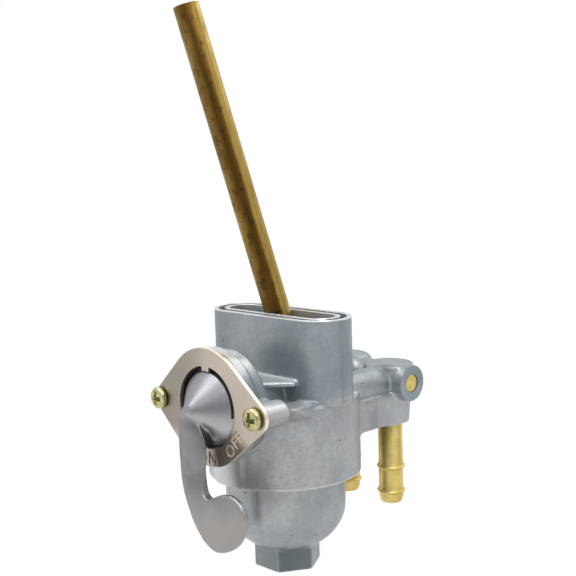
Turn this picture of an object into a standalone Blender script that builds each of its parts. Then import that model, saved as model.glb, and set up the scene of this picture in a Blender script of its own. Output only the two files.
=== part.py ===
"""Fuel tap for a small motorcycle tank: die-cast body, valve with lever, sediment bowl, twin hose outlets.

Lengths are in metres. +Z is up and the origin is the middle of the bowl hexagon's underside.
The oval neck runs along X, the valve and its lever face -Y and the hose outlets stand on the +Y side.
"""

import math

import bmesh
import bpy
from mathutils import Matrix, Vector

MM = 0.001
GAP = 0.3 * MM
MERGE = 0.00001

# Heights of the casting above the underside of the bowl hexagon
BODY_BOTTOM_Z = 22.9 * MM
SHOULDER_Z = 41.3 * MM
SHOULDER_RISE = 0.8 * MM
NECK_TOP_Z = 60.5 * MM

# Round lower body
BODY_R = 18.6 * MM
BODY_RIB_WIDTH = 10.4 * MM
BODY_RIB_PROUD = 0.7 * MM
BODY_RIB_TOP_Z = 36.0 * MM
RIM_BEVEL = 0.35 * MM

# Oval neck with its gasket groove
NECK_LENGTH = 40.0 * MM
NECK_WIDTH = 14.6 * MM
NECK_LIP = 1.0 * MM
GROOVE_WIDTH = 1.65 * MM
GROOVE_DEPTH = 2.4 * MM
INNER_RING = 1.0 * MM
POCKET_DEPTH = 10.5 * MM

# Standpipe
PIPE_R = 3.05 * MM
PIPE_WALL = 0.7 * MM
PIPE_X = -0.5 * MM
PIPE_Y = 0.1 * MM
PIPE_SOCKET_DEPTH = 3.4 * MM
PIPE_LEAN_X = -12.7 * MM
PIPE_LEAN_Y = -14.0 * MM
PIPE_RISE = 71.5 * MM
PIPE_BEND_R = 12.0 * MM

# Valve
VALVE_Z = 42.0 * MM
BOSS_FACE_Y = -22.6 * MM
BOSS_R = 13.2 * MM
BOSS_STEP = 2.9 * MM
BOSS_BACK_R = 12.1 * MM
BOSS_BACK_DEPTH = 6.6 * MM
LINK_R = 8.6 * MM
LINK_TOP_DROP = 0.15 * MM
CHAMBER_R = 10.8 * MM
CHAMBER_DEPTH = 5.6 * MM
PORT_CIRCLE_R = 4.2 * MM
PORT_R = 1.3 * MM
PORT_ANGLE = 45
CROSSING_R = 1.15 * MM
BOWL_DROP_Y = -10.2 * MM
BOWL_DROP_R = 1.4 * MM

# Lever plate and its screws
PLATE_THICK = 1.0 * MM
PLATE_R = 13.4 * MM
PLATE_EAR_R = 3.4 * MM
PLATE_HOLE_R = 9.25 * MM
STOP_TAB_WIDTH = 2.4 * MM
STOP_TAB_DEPTH = 1.1 * MM
SCREW_X = 15.9 * MM
SCREW_HEAD_R = 2.5 * MM
SCREW_HEAD_H = 1.35 * MM
SCREW_SHANK_R = 1.4 * MM
SCREW_LENGTH = 6.0 * MM
RECESS_WIDTH = 0.7 * MM
RECESS_SPAN = 2.9 * MM
RECESS_DEPTH = 0.8 * MM
SCREW_BOSS_R = 2.9 * MM
SCREW_BOSS_LENGTH = 7.4 * MM
SCREW_BOSS_ROUND = 0.9 * MM
SCREW_TIE_HALF = 2.3 * MM

# Web between the valve boss and the neck
WEB_TOP_Z = 47.0 * MM
WEB_THICK = 1.0 * MM
WEB_BOSS_HALF = 10.0 * MM
WEB_NECK_HALF = 12.7 * MM

# Lever, rotor and their packing
RUBBER_R = 10.2 * MM
RUBBER_THICK = 1.6 * MM
FLANGE_THICK = 1.8 * MM
HUB_R = 8.9 * MM
HUB_NOTCH_R = 7.85 * MM
HUB_LIP = -1.2 * MM
CONE_HEIGHT = 7.0 * MM
CONE_TIP_R = 1.6 * MM
BLADE_THICK = 2.4 * MM
BLADE_STANDOFF = 3.7 * MM
BLADE_WEB_SHARE = 0.75
BLADE_EDGE = 0.55 * MM
BLADE_HALF = 3.55 * MM
CONE_BULGE = 0.1 * MM
NOTCH_SUNK = 1.4 * MM
CHANNEL_SPAN = 40
LEVER_SWING = 90.0
WASHER_THICK = 0.3 * MM
WASHER_WIDTH = 0.95 * MM
WASHER_WAVES = 3

# Outlets
OUTLET_Y = 27.0 * MM
NEAR_OUTLET_X = 10.1 * MM
FAR_OUTLET_X = -4.3 * MM
PASSAGE_Z = 41.0 * MM
ARM_R = 4.1 * MM
ARM_HALF_WIDTH = 4.5 * MM
ARM_WEB_TOP_Z = 38.9 * MM
ARM_WEB_END_Y = 20.7 * MM
OUTLET_BOTTOM_Z = 30.8 * MM
OUTLET_BOTTOM_R = 4.7 * MM
OUTLET_TOP_R = 5.3 * MM
FAR_OUTLET_TOP_R = 6.2 * MM
NEAR_BOSS_TOP_Z = 45.4 * MM
FAR_BOSS_TOP_Z = 47.3 * MM
PLUG_BOSS_X = 17.3 * MM
PLUG_R = 2.1 * MM
PLUG_LENGTH = 3.2 * MM
PASSAGE_R = 1.5 * MM
GALLERY_R = 1.35 * MM
BARB_DROP_R = 1.65 * MM
FUEL_RISE_Y = 5.5 * MM
BARB_TUBE_R = 3.0 * MM
BARB_RIDGE_R = 3.6 * MM
BARB_BORE_R = 2.05 * MM
BARB_TIP_R = 2.65 * MM
BARB_TIP_Z = 10.2 * MM
BARB_RIDGE_ZS = (19.3 * MM, 13.1 * MM)
BARB_SEAT = 5.5 * MM

# Bowl, its seal and its strainer
BOWL_R = 14.3 * MM
BOWL_STRAIGHT_Z = 15.0 * MM
BOWL_DOME_H = 11.5 * MM
BOWL_CAVITY_R = 11.3 * MM
BOWL_FLOOR = 5.6 * MM
BOWL_RIB_WIDTH = 6.6 * MM
BOWL_RIB_PROUD = 0.55 * MM
BOWL_RIB_LOW_Z = 8.5 * MM
HEX_FLATS = 14.0 * MM
HEX_HEIGHT = 6.2 * MM
HEX_CHAMFER = 0.9 * MM
COLLAR_R = 12.9 * MM
COLLAR_HEIGHT = 6.4 * MM
RECESS_TOP_Z = 31.5 * MM
RING_MINOR_R = 0.8 * MM
RIB_ROOT = 1.2 * MM
STRAINER_R = 7.5 * MM
STRAINER_RIM_R = 9.9 * MM
STRAINER_RIM_H = 1.6 * MM
STRAINER_WALL = 0.4 * MM
STRAINER_BOTTOM_Z = 14.0 * MM
FRAME_RIB = 1.4 * MM
FRAME_RIBS = 4

# Fineness of round shapes
FINE = 48
MEDIUM = 28
SMALL = 12

PLATE_BACK_Y = BOSS_FACE_Y - GAP
PLATE_FRONT_Y = PLATE_BACK_Y - PLATE_THICK
CHAMBER_FLOOR_Y = BOSS_FACE_Y + CHAMBER_DEPTH
RUBBER_FRONT_Y = CHAMBER_FLOOR_Y - GAP - RUBBER_THICK
FLANGE_FRONT_Y = RUBBER_FRONT_Y - GAP - FLANGE_THICK
BLADE_BACK_Y = PLATE_FRONT_Y - BLADE_STANDOFF
POCKET_FLOOR_Z = NECK_TOP_Z - POCKET_DEPTH
RIM_WIDTH = NECK_LIP + GROOVE_WIDTH + INNER_RING
RECESS_R = COLLAR_R + GAP
FACING_FRONT = (math.radians(90), 0, 0)


def reset_scene():
    """Remove the scene's objects and make the two collections."""
    for obj in list(bpy.data.objects):
        bpy.data.objects.remove(obj, do_unlink=True)
    for name in ("fuel_tap", "cutters"):
        bpy.context.scene.collection.children.link(bpy.data.collections.new(name))


def material(name, colour, roughness, metallic):
    """A Principled BSDF finish."""
    mat = bpy.data.materials.new(name)
    mat.use_nodes = True
    shader = mat.node_tree.nodes["Principled BSDF"]
    shader.inputs["Base Color"].default_value = (*colour, 1.0)
    shader.inputs["Roughness"].default_value = roughness
    shader.inputs["Metallic"].default_value = metallic
    return mat


def add_object(name, mesh, place=(0, 0, 0), turn=(0, 0, 0), part=False):
    """Place a mesh: a part goes in the tap's collection, anything else is a hidden operand."""
    obj = bpy.data.objects.new(name, mesh)
    obj.location = place
    obj.rotation_euler = turn
    bpy.data.collections["fuel_tap" if part else "cutters"].objects.link(obj)
    if not part:
        obj.hide_render = True
        obj.display_type = "WIRE"
    return obj


def mesh_from(name, bm):
    """Turn a bmesh into mesh data."""
    mesh = bpy.data.meshes.new(name)
    bm.to_mesh(mesh)
    bm.free()
    return mesh


def cylinder(name, radius, start, end, segments=MEDIUM, end_radius=None):
    """A cylinder or cone between two points."""
    start, end = Vector(start), Vector(end)
    bm = bmesh.new()
    bmesh.ops.create_cone(
        bm, cap_ends=True, segments=segments, radius1=radius,
        radius2=radius if end_radius is None else end_radius, depth=(end - start).length,
    )
    turn = Vector((0, 0, 1)).rotation_difference(end - start).to_matrix().to_4x4()
    bmesh.ops.transform(bm, matrix=Matrix.Translation((start + end) / 2) @ turn, verts=bm.verts)
    return add_object(name, mesh_from(name, bm))


def box(name, low, high):
    """A box between two corners."""
    low, high = Vector(low), Vector(high)
    bm = bmesh.new()
    bmesh.ops.create_cube(bm, size=1.0)
    bmesh.ops.scale(bm, vec=high - low, verts=bm.verts)
    bmesh.ops.translate(bm, vec=(low + high) / 2, verts=bm.verts)
    return add_object(name, mesh_from(name, bm))


def hull(name, points):
    """The convex solid around a set of points."""
    bm = bmesh.new()
    for point in points:
        bm.verts.new(point)
    result = bmesh.ops.convex_hull(bm, input=bm.verts)
    loose = [v for v in result["geom_interior"] + result["geom_unused"] if isinstance(v, bmesh.types.BMVert)]
    bmesh.ops.delete(bm, geom=list(set(loose)), context="VERTS")
    bmesh.ops.dissolve_limit(bm, angle_limit=math.radians(0.5), verts=bm.verts, edges=bm.edges)
    bmesh.ops.recalc_face_normals(bm, faces=bm.faces)
    return add_object(name, mesh_from(name, bm))


def turned(name, profile, place=(0, 0, 0), turn=(0, 0, 0), steps=FINE, closed=False, part=False):
    """Turn a profile of (radius, height) points about its local Z axis."""
    bm = bmesh.new()
    verts = [bm.verts.new((r, 0, z)) for r, z in profile]
    for a, b in zip(verts, verts[1:] + verts[:1] if closed else verts[1:]):
        bm.edges.new((a, b))
    obj = add_object(name, mesh_from(name, bm), place, turn, part)
    screw = obj.modifiers.new("turn", "SCREW")
    screw.steps = steps
    screw.render_steps = steps
    screw.use_merge_vertices = True
    screw.merge_threshold = MERGE
    screw.use_smooth_shade = True
    return obj


def as_mesh(obj, name=None, part=False):
    """Replace an object by the mesh that its curve or modifiers make, with the caps welded."""
    bpy.context.view_layer.update()
    evaluated = obj.evaluated_get(bpy.context.evaluated_depsgraph_get())
    mesh = bpy.data.meshes.new_from_object(evaluated)
    bm = bmesh.new()
    bm.from_mesh(mesh)
    bmesh.ops.remove_doubles(bm, verts=bm.verts, dist=MERGE)
    bm.to_mesh(mesh)
    bm.free()
    place = obj.matrix_world.copy()
    name = name or obj.name
    bpy.data.objects.remove(obj, do_unlink=True)
    result = add_object(name, mesh, part=part)
    result.matrix_world = place
    return result


def flat_outline(name, outlines, thickness, place, turn, part=False):
    """A flat piece from 2D outlines: the first is its edge, the others are holes."""
    curve = bpy.data.curves.new(name, "CURVE")
    curve.dimensions = "2D"
    curve.fill_mode = "BOTH"
    curve.extrude = thickness / 2
    for outline in outlines:
        spline = curve.splines.new("POLY")
        spline.points.add(len(outline) - 1)
        for point, (x, y) in zip(spline.points, outline):
            point.co = (x, y, 0, 1)
        spline.use_cyclic_u = True
    return as_mesh(add_object(name + "_outline", curve, place, turn), name, part)


def apply_boolean(target, operand, operation, solver="EXACT"):
    """Cut, join or intersect a target with a hidden operand."""
    mod = target.modifiers.new(operand.name, "BOOLEAN")
    mod.operation = operation
    mod.solver = solver
    mod.object = operand


def join(target, operands, solver="EXACT"):
    """Join operands to the target."""
    for operand in operands:
        apply_boolean(target, operand, "UNION", solver)


def cut(target, operands, solver="EXACT"):
    """Cut operands out of the target."""
    for operand in operands:
        apply_boolean(target, operand, "DIFFERENCE", solver)


def bevel(obj, width, segments=2, angle=35):
    """Round the sharp edges of an object."""
    mod = obj.modifiers.new("rounding", "BEVEL")
    mod.width = width
    mod.segments = segments
    mod.limit_method = "ANGLE"
    mod.angle_limit = math.radians(angle)
    return obj


def finish(obj, mat, smooth_angle=30):
    """Give a part its material and smooth shading with sharp edges."""
    if obj.type == "MESH":
        obj.data.materials.clear()
        obj.data.materials.append(mat)
        obj.data.shade_smooth()
        obj.data.set_sharp_from_angle(angle=math.radians(smooth_angle))
    return obj


def arc(cx, cy, radius, start, end, steps):
    """Points on an arc, angles in degrees."""
    angles = [math.radians(start + (end - start) * i / steps) for i in range(steps + 1)]
    return [(cx + radius * math.cos(a), cy + radius * math.sin(a)) for a in angles]


def stadium(length, width, steps=SMALL):
    """An oval with straight sides along X."""
    half = (length - width) / 2
    return arc(half, 0, width / 2, -90, 90, steps) + arc(-half, 0, width / 2, 90, 270, steps)


def circle(cx, cy, radius, segments=SMALL):
    """A full circle of points."""
    return arc(cx, cy, radius, 0, 360, segments)[:-1]


def oval_prism(name, length, width, low, high):
    """An upright oval prism."""
    return flat_outline(name, [stadium(length, width)], high - low, (0, 0, (low + high) / 2), (0, 0, 0))


def front_turned(name, profile, **options):
    """A shape turned about the valve axis: heights run from y = 0 towards the front."""
    return turned(name, profile, place=(0, 0, VALVE_Z), turn=FACING_FRONT, **options)


def disc_profile(radius, back_y, front_y, round_edge=0.0):
    """Outline of a plain disc on the valve axis between two Y planes."""
    return [
        (0, -front_y), (radius - round_edge, -front_y), (radius, -front_y - round_edge),
        (radius, -back_y), (0, -back_y),
    ]


def body_shapes():
    """The solids that the casting is made of."""
    neck_root_z = SHOULDER_Z - 0.2 * MM
    boss_mid_y = BOSS_FACE_Y + BOSS_STEP
    boss_back_y = BOSS_FACE_Y + BOSS_BACK_DEPTH
    neck_wall_y = -NECK_WIDTH / 2
    shapes = [
        oval_prism("neck", NECK_LENGTH, NECK_WIDTH, neck_root_z, NECK_TOP_Z),
        front_turned("boss_front", disc_profile(BOSS_R, boss_mid_y, BOSS_FACE_Y, RIM_BEVEL)),
        front_turned("boss_back", disc_profile(BOSS_BACK_R, boss_back_y, boss_mid_y + RIM_BEVEL)),
        front_turned("valve_link", disc_profile(LINK_R, neck_wall_y + NECK_LIP, boss_back_y - RIM_BEVEL)),
    ]
    bevel(shapes[0], RIM_BEVEL)
    link_top = WEB_TOP_Z - LINK_TOP_DROP
    apply_boolean(
        shapes[3], box("link_flat", (-2 * LINK_R, 2 * BOSS_FACE_Y, link_top), (2 * LINK_R, 0, NECK_TOP_Z)), "DIFFERENCE",
    )
    web_corners = [
        (-WEB_NECK_HALF, neck_wall_y + NECK_LIP), (WEB_NECK_HALF, neck_wall_y + NECK_LIP),
        (WEB_BOSS_HALF, boss_back_y - RIM_BEVEL), (-WEB_BOSS_HALF, boss_back_y - RIM_BEVEL),
    ]
    shapes.append(hull("web", [(x, y, z) for x, y in web_corners for z in (WEB_TOP_Z - WEB_THICK, WEB_TOP_Z)]))
    shapes.append(body_rib())
    for side in (-1, 1):
        shapes += screw_boss_shapes(side)
    shapes += outlet_shapes("near", NEAR_OUTLET_X, NEAR_BOSS_TOP_Z, OUTLET_TOP_R)
    shapes += outlet_shapes("far", FAR_OUTLET_X, FAR_BOSS_TOP_Z, FAR_OUTLET_TOP_R)
    shapes.append(cylinder(
        "plug_boss", ARM_R, (FAR_OUTLET_X, OUTLET_Y, PASSAGE_Z), (PLUG_BOSS_X, OUTLET_Y, PASSAGE_Z),
    ))
    return shapes


def body_rib():
    """The raised rib down the front of the round body, below the valve."""
    rib = turned("body_rib", [
        (0, BODY_RIB_TOP_Z), (BODY_R, BODY_RIB_TOP_Z),
        (BODY_R + BODY_RIB_PROUD, BODY_RIB_TOP_Z - BODY_RIB_PROUD),
        (BODY_R + BODY_RIB_PROUD, BODY_BOTTOM_Z + RIM_BEVEL), (BODY_R, BODY_BOTTOM_Z), (0, BODY_BOTTOM_Z),
    ])
    half = BODY_RIB_WIDTH / 2
    slot = box("body_rib_slot", (-half, -2 * BODY_R, 0), (half, -BODY_R / 2, NECK_TOP_Z))
    apply_boolean(rib, slot, "INTERSECT")
    return rib


def screw_boss_shapes(side):
    """The boss that takes one plate screw, and the web that ties it to the valve boss."""
    x = side * SCREW_X
    end_y = BOSS_FACE_Y + SCREW_BOSS_LENGTH
    name = "screw_boss_" + ("left" if side < 0 else "right")
    boss = turned(name, [
        (0, -BOSS_FACE_Y), (SCREW_BOSS_R, -BOSS_FACE_Y), (SCREW_BOSS_R, -end_y + SCREW_BOSS_ROUND),
        (SCREW_BOSS_R - SCREW_BOSS_ROUND / 3, -end_y + SCREW_BOSS_ROUND / 3),
        (SCREW_BOSS_R - SCREW_BOSS_ROUND, -end_y), (0, -end_y),
    ], place=(x, 0, VALVE_Z), turn=FACING_FRONT, steps=MEDIUM)
    inner_x, outer_x = sorted((side * (BOSS_BACK_R - SCREW_BOSS_R), x))
    half = SCREW_TIE_HALF
    tie = box(
        name + "_tie", (inner_x, BOSS_FACE_Y + RIM_BEVEL, VALVE_Z - half),
        (outer_x, BOSS_FACE_Y + BOSS_BACK_DEPTH, VALVE_Z + half),
    )
    return [boss, tie]


def outlet_shapes(name, x, top_z, top_r):
    """One outlet: the arm from the body, the web under it and the upright boss for the barb."""
    arm = cylinder(name + "_arm", ARM_R, (x, NECK_WIDTH / 4, PASSAGE_Z), (x, OUTLET_Y, PASSAGE_Z))
    web_bottom = OUTLET_BOTTOM_Z + RIM_BEVEL
    web = box(
        name + "_arm_web", (x - ARM_HALF_WIDTH, BODY_R / 2, web_bottom),
        (x + ARM_HALF_WIDTH, ARM_WEB_END_Y + RIM_BEVEL, ARM_WEB_TOP_Z),
    )
    points = [
        (x + side * ARM_HALF_WIDTH, ARM_WEB_END_Y, z)
        for side in (-1, 1) for z in (web_bottom, ARM_WEB_TOP_Z)
    ]
    for radius, z in ((OUTLET_BOTTOM_R, OUTLET_BOTTOM_Z), (OUTLET_BOTTOM_R, ARM_WEB_TOP_Z)):
        points += [(px, py, z) for px, py in circle(x, OUTLET_Y, radius, MEDIUM)]
    foot = hull(name + "_outlet_foot", points)
    boss = cylinder(
        name + "_outlet_boss", OUTLET_BOTTOM_R, (x, OUTLET_Y, OUTLET_BOTTOM_Z + RIM_BEVEL / 2),
        (x, OUTLET_Y, top_z), end_radius=top_r,
    )
    bevel(boss, RIM_BEVEL)
    return [arm, web, foot, boss]


def body_cuts():
    """The pockets, sockets, ports and passages in the casting."""
    cuts = neck_cuts() + valve_cuts() + outlet_cuts()
    cuts.append(cylinder("bowl_thread", RECESS_R, (0, 0, BODY_BOTTOM_Z - MM), (0, 0, RECESS_TOP_Z), FINE))
    return cuts


def port_offset():
    """Distance of each port from the valve axis, along X and along Z."""
    return PORT_CIRCLE_R * math.sin(math.radians(PORT_ANGLE))


def neck_cuts():
    """The gasket groove, the fuel pocket and the standpipe's socket."""
    outer = 2 * NECK_LIP
    inner = outer + 2 * GROOVE_WIDTH
    groove = flat_outline(
        "gasket_groove",
        [stadium(NECK_LENGTH - outer, NECK_WIDTH - outer), stadium(NECK_LENGTH - inner, NECK_WIDTH - inner)],
        2 * GROOVE_DEPTH, (0, 0, NECK_TOP_Z), (0, 0, 0),
    )
    rim = 2 * RIM_WIDTH
    pocket = oval_prism("pocket", NECK_LENGTH - rim, NECK_WIDTH - rim, POCKET_FLOOR_Z, NECK_TOP_Z + MM)
    socket_floor = POCKET_FLOOR_Z - PIPE_SOCKET_DEPTH
    socket = cylinder(
        "pipe_socket", PIPE_R + GAP, (PIPE_X, PIPE_Y, socket_floor), (PIPE_X, PIPE_Y, POCKET_FLOOR_Z + MM),
    )
    offset = port_offset()
    port_z = VALVE_Z + offset
    main = cylinder(
        "main_drop", PORT_R, (PIPE_X, PIPE_Y, port_z - PORT_R), (PIPE_X, PIPE_Y, socket_floor + MM), SMALL,
    )
    reserve_x = PIPE_X + 2 * PIPE_R
    reserve = cylinder(
        "reserve_drop", PORT_R, (reserve_x, PIPE_Y, port_z - PORT_R), (reserve_x, PIPE_Y, POCKET_FLOOR_Z + MM), SMALL,
    )
    crossings = [
        cylinder("main_crossing", CROSSING_R, (-offset, PIPE_Y, port_z), (PIPE_X, PIPE_Y, port_z), SMALL),
        cylinder("reserve_crossing", CROSSING_R, (offset, PIPE_Y, port_z), (reserve_x, PIPE_Y, port_z), SMALL),
    ]
    return [groove, pocket, socket, main, reserve] + crossings


def valve_cuts():
    """The valve chamber with its ports, and the tapped holes for the plate screws."""
    chamber = front_turned("chamber", disc_profile(CHAMBER_R, CHAMBER_FLOOR_Y, BOSS_FACE_Y - MM))
    offset = port_offset()
    ports = [
        cylinder(f"port_{n}", PORT_R, (x, CHAMBER_FLOOR_Y - MM, z), (x, end_y, z), SMALL)
        for n, (x, z, end_y) in enumerate((
            (-offset, VALVE_Z + offset, PIPE_Y),
            (offset, VALVE_Z + offset, PIPE_Y),
            (-offset, VALVE_Z - offset, BOWL_DROP_Y),
        ))
    ]
    ports.append(cylinder(
        "bowl_drop", BOWL_DROP_R, (-offset, BOWL_DROP_Y, RECESS_TOP_Z - MM), (-offset, BOWL_DROP_Y, VALVE_Z - offset),
        SMALL,
    ))
    depth = BOSS_FACE_Y + SCREW_LENGTH
    holes = [
        cylinder(
            f"tapping_{side}", SCREW_SHANK_R + GAP, (side * SCREW_X, BOSS_FACE_Y - MM, VALVE_Z),
            (side * SCREW_X, depth, VALVE_Z), SMALL,
        )
        for side in (-1, 1)
    ]
    return [chamber] + ports + holes


def outlet_cuts():
    """The barb sockets, the drilled passages and the plug's seat."""
    rise_y = FUEL_RISE_Y
    seat_x = PLUG_BOSS_X - PLUG_LENGTH - GAP
    socket_top = OUTLET_BOTTOM_Z + BARB_SEAT
    cuts = [
        cylinder("fuel_rise", PASSAGE_R, (0, rise_y, RECESS_TOP_Z - MM), (0, rise_y, PASSAGE_Z), SMALL),
        cylinder(
            "gallery", GALLERY_R, (FAR_OUTLET_X, rise_y, PASSAGE_Z), (NEAR_OUTLET_X, rise_y, PASSAGE_Z), SMALL,
        ),
        cylinder(
            "cross_passage", GALLERY_R, (FAR_OUTLET_X, OUTLET_Y, PASSAGE_Z), (seat_x + MM, OUTLET_Y, PASSAGE_Z),
            SMALL,
        ),
        cylinder(
            "plug_seat", PLUG_R + GAP / 2, (seat_x, OUTLET_Y, PASSAGE_Z), (PLUG_BOSS_X + MM, OUTLET_Y, PASSAGE_Z),
            MEDIUM,
        ),
    ]
    for name, x in (("near", NEAR_OUTLET_X), ("far", FAR_OUTLET_X)):
        cuts.append(cylinder(name + "_run", PASSAGE_R, (x, rise_y, PASSAGE_Z), (x, OUTLET_Y, PASSAGE_Z), SMALL))
        cuts.append(cylinder(
            name + "_socket", BARB_TUBE_R + GAP / 2, (x, OUTLET_Y, OUTLET_BOTTOM_Z - MM), (x, OUTLET_Y, socket_top),
        ))
        cuts.append(cylinder(
            name + "_drop", BARB_DROP_R, (x, OUTLET_Y, socket_top - MM), (x, OUTLET_Y, PASSAGE_Z), SMALL,
        ))
    return cuts


def build_body(mat):
    """The die-cast body in one piece."""
    body = turned("body_casting", [
        (0, SHOULDER_Z + SHOULDER_RISE), (NECK_WIDTH / 2, SHOULDER_Z + SHOULDER_RISE),
        (BODY_R - RIM_BEVEL, SHOULDER_Z), (BODY_R, SHOULDER_Z - RIM_BEVEL),
        (BODY_R, BODY_BOTTOM_Z + RIM_BEVEL), (BODY_R - RIM_BEVEL, BODY_BOTTOM_Z), (0, BODY_BOTTOM_Z),
    ], part=True)
    finish(body, mat)
    # The exact solver leaves open edges where this many shapes of one casting meet
    join(body, body_shapes(), "MANIFOLD")
    cut(body, body_cuts(), "MANIFOLD")
    return body


def pipe_route():
    """The middle line of the standpipe: upright in its socket, then one bend into its lean."""
    lean = Vector((PIPE_LEAN_X, PIPE_LEAN_Y, PIPE_RISE)).normalized()
    angle = lean.angle(Vector((0, 0, 1)))
    side = Vector((PIPE_LEAN_X, PIPE_LEAN_Y, 0)).normalized()
    base = Vector((PIPE_X, PIPE_Y, POCKET_FLOOR_Z - PIPE_SOCKET_DEPTH + GAP))
    bend_z = NECK_TOP_Z - PIPE_BEND_R * math.sin(angle)
    points = [base]
    steps = 6
    for i in range(steps + 1):
        a = angle * i / steps
        sideways = PIPE_BEND_R * (1 - math.cos(a))
        points.append(Vector((PIPE_X, PIPE_Y, bend_z + PIPE_BEND_R * math.sin(a))) + side * sideways)
    points.append(points[-1] + lean * (PIPE_RISE / lean.z))
    return points


def build_standpipe(mat):
    """The brass standpipe, an open tube along its route."""
    curve = bpy.data.curves.new("standpipe", "CURVE")
    curve.dimensions = "3D"
    curve.bevel_depth = PIPE_R
    curve.bevel_resolution = 6
    spline = curve.splines.new("POLY")
    route = pipe_route()
    spline.points.add(len(route) - 1)
    for point, co in zip(spline.points, route):
        point.co = (*co, 1)
    pipe = as_mesh(add_object("standpipe_route", curve), "standpipe", part=True)
    wall = pipe.modifiers.new("wall", "SOLIDIFY")
    wall.thickness = PIPE_WALL
    wall.offset = -1
    wall.use_even_offset = True
    return finish(pipe, mat)


def build_barb(name, x, mat):
    """A turned brass hose barb with two ridges and a through bore."""
    top = OUTLET_BOTTOM_Z + BARB_SEAT - GAP
    tube, ridge = BARB_TUBE_R, BARB_RIDGE_R
    profile = [(BARB_BORE_R, top), (tube - 0.2 * MM, top), (tube, top - 0.2 * MM)]
    for ridge_z in BARB_RIDGE_ZS:
        profile += [
            (tube, ridge_z + 0.9 * MM), (ridge - 0.1 * MM, ridge_z + 0.25 * MM), (ridge, ridge_z),
            (ridge - 0.1 * MM, ridge_z - 0.2 * MM), (tube + 0.1 * MM, ridge_z - 0.9 * MM),
        ]
    profile = profile[:-1]
    profile += [
        (BARB_TIP_R, BARB_TIP_Z + 0.3 * MM), (BARB_TIP_R - 0.25 * MM, BARB_TIP_Z), (BARB_BORE_R, BARB_TIP_Z),
    ]
    barb = turned(name, profile, place=(x, OUTLET_Y, 0), steps=MEDIUM, closed=True, part=True)
    return finish(barb, mat)


def build_plug(mat):
    """The brass plug pressed into the end of the cross passage."""
    plug = turned("passage_plug", [
        (0, PLUG_LENGTH), (PLUG_R - 0.25 * MM, PLUG_LENGTH), (PLUG_R, PLUG_LENGTH - 0.25 * MM),
        (PLUG_R, 0.2 * MM), (PLUG_R - 0.2 * MM, 0), (0, 0),
    ], place=(PLUG_BOSS_X - PLUG_LENGTH, OUTLET_Y, PASSAGE_Z), turn=(0, math.radians(90), 0), steps=MEDIUM, part=True)
    return finish(plug, mat)


def build_valve_rubber(mat):
    """The rubber packing disc with its four ports."""
    back = CHAMBER_FLOOR_Y - GAP
    disc = front_turned("valve_rubber", disc_profile(RUBBER_R, back, RUBBER_FRONT_Y), steps=MEDIUM, part=True)
    finish(disc, mat)
    offset = port_offset()
    cut(disc, [
        cylinder(
            f"packing_port_{sx}_{sz}", PORT_R, (sx * offset, back + MM, VALVE_Z + sz * offset),
            (sx * offset, RUBBER_FRONT_Y - MM, VALVE_Z + sz * offset), SMALL,
        )
        for sx in (-1, 1) for sz in (-1, 1)
    ])
    return disc


def stop_half_angle():
    """Half the width of the plate's stop tab, in degrees at the hub."""
    return math.degrees(math.asin(STOP_TAB_WIDTH / 2 / HUB_NOTCH_R))


def blade_outline():
    """Front view of the lever's blade and its hooked paddle, as (x, z) from the valve axis."""
    half = BLADE_HALF
    knots = [
        (-0.6 * MM, 1.2 * MM), (-2.7 * MM, -0.6 * MM), (-half, -4.4 * MM), (-half, -11.5 * MM), (-2.6 * MM, -16.5 * MM),
        (-1.1 * MM, -20.3 * MM), (1.2 * MM, -24.2 * MM), (4.2 * MM, -27.6 * MM), (8.2 * MM, -29.3 * MM),
        (12.6 * MM, -28.3 * MM), (16.0 * MM, -25.0 * MM), (17.4 * MM, -20.9 * MM), (15.9 * MM, -17.6 * MM),
        (12.6 * MM, -16.3 * MM), (9.2 * MM, -16.9 * MM), (6.4 * MM, -18.2 * MM), (4.7 * MM, -17.2 * MM),
        (4.0 * MM, -13.0 * MM), (half, -8.6 * MM), (2.4 * MM, -4.6 * MM), (1.0 * MM, -1.2 * MM),
    ]
    return smooth_loop(knots, 2)


def smooth_loop(knots, steps):
    """A closed smooth curve through its knots."""
    points = []
    count = len(knots)
    for i in range(count):
        p0, p1, p2, p3 = (Vector(knots[(i + k) % count]) for k in (-1, 0, 1, 2))
        for s in range(steps):
            t = s / steps
            point = 0.5 * (2 * p1 + (p2 - p0) * t + (2 * p0 - 5 * p1 + 4 * p2 - p3) * t ** 2
                           + (3 * p1 - p0 - 3 * p2 + p3) * t ** 3)
            points.append(tuple(point))
    return points


def build_lever(mat):
    """The lever in one casting: rotor disc, stop-notched hub, cone and hooked blade."""
    flange_back = -RUBBER_FRONT_Y + GAP
    cone_base = -PLATE_FRONT_Y + HUB_LIP
    cone_tip = cone_base + CONE_HEIGHT
    flange_r = CHAMBER_R - GAP
    lever = front_turned("lever", [
        (0, cone_tip), (CONE_TIP_R * 0.6, cone_tip - 0.15 * MM), (CONE_TIP_R, cone_tip - 0.5 * MM),
        ((HUB_R + CONE_TIP_R) / 2 + CONE_BULGE, cone_tip - CONE_HEIGHT / 2),
        (HUB_R - 0.2 * MM, cone_base), (HUB_R, cone_base - 0.25 * MM),
        (HUB_R, -FLANGE_FRONT_Y), (flange_r, -FLANGE_FRONT_Y), (flange_r, flange_back), (0, flange_back),
    ], part=True)
    finish(lever, mat)
    cut(lever, [stop_notch(cone_base)])
    blade = flat_outline(
        "lever_blade", [blade_outline()], BLADE_THICK, (0, BLADE_BACK_Y - BLADE_THICK / 2, VALVE_Z), FACING_FRONT,
    )
    bevel(blade, BLADE_EDGE)
    join(lever, [blade, blade_web()])
    for n, angle in enumerate((PORT_ANGLE, PORT_ANGLE + 180)):
        cut(lever, [rotor_channel(n, angle)])
    return lever


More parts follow.
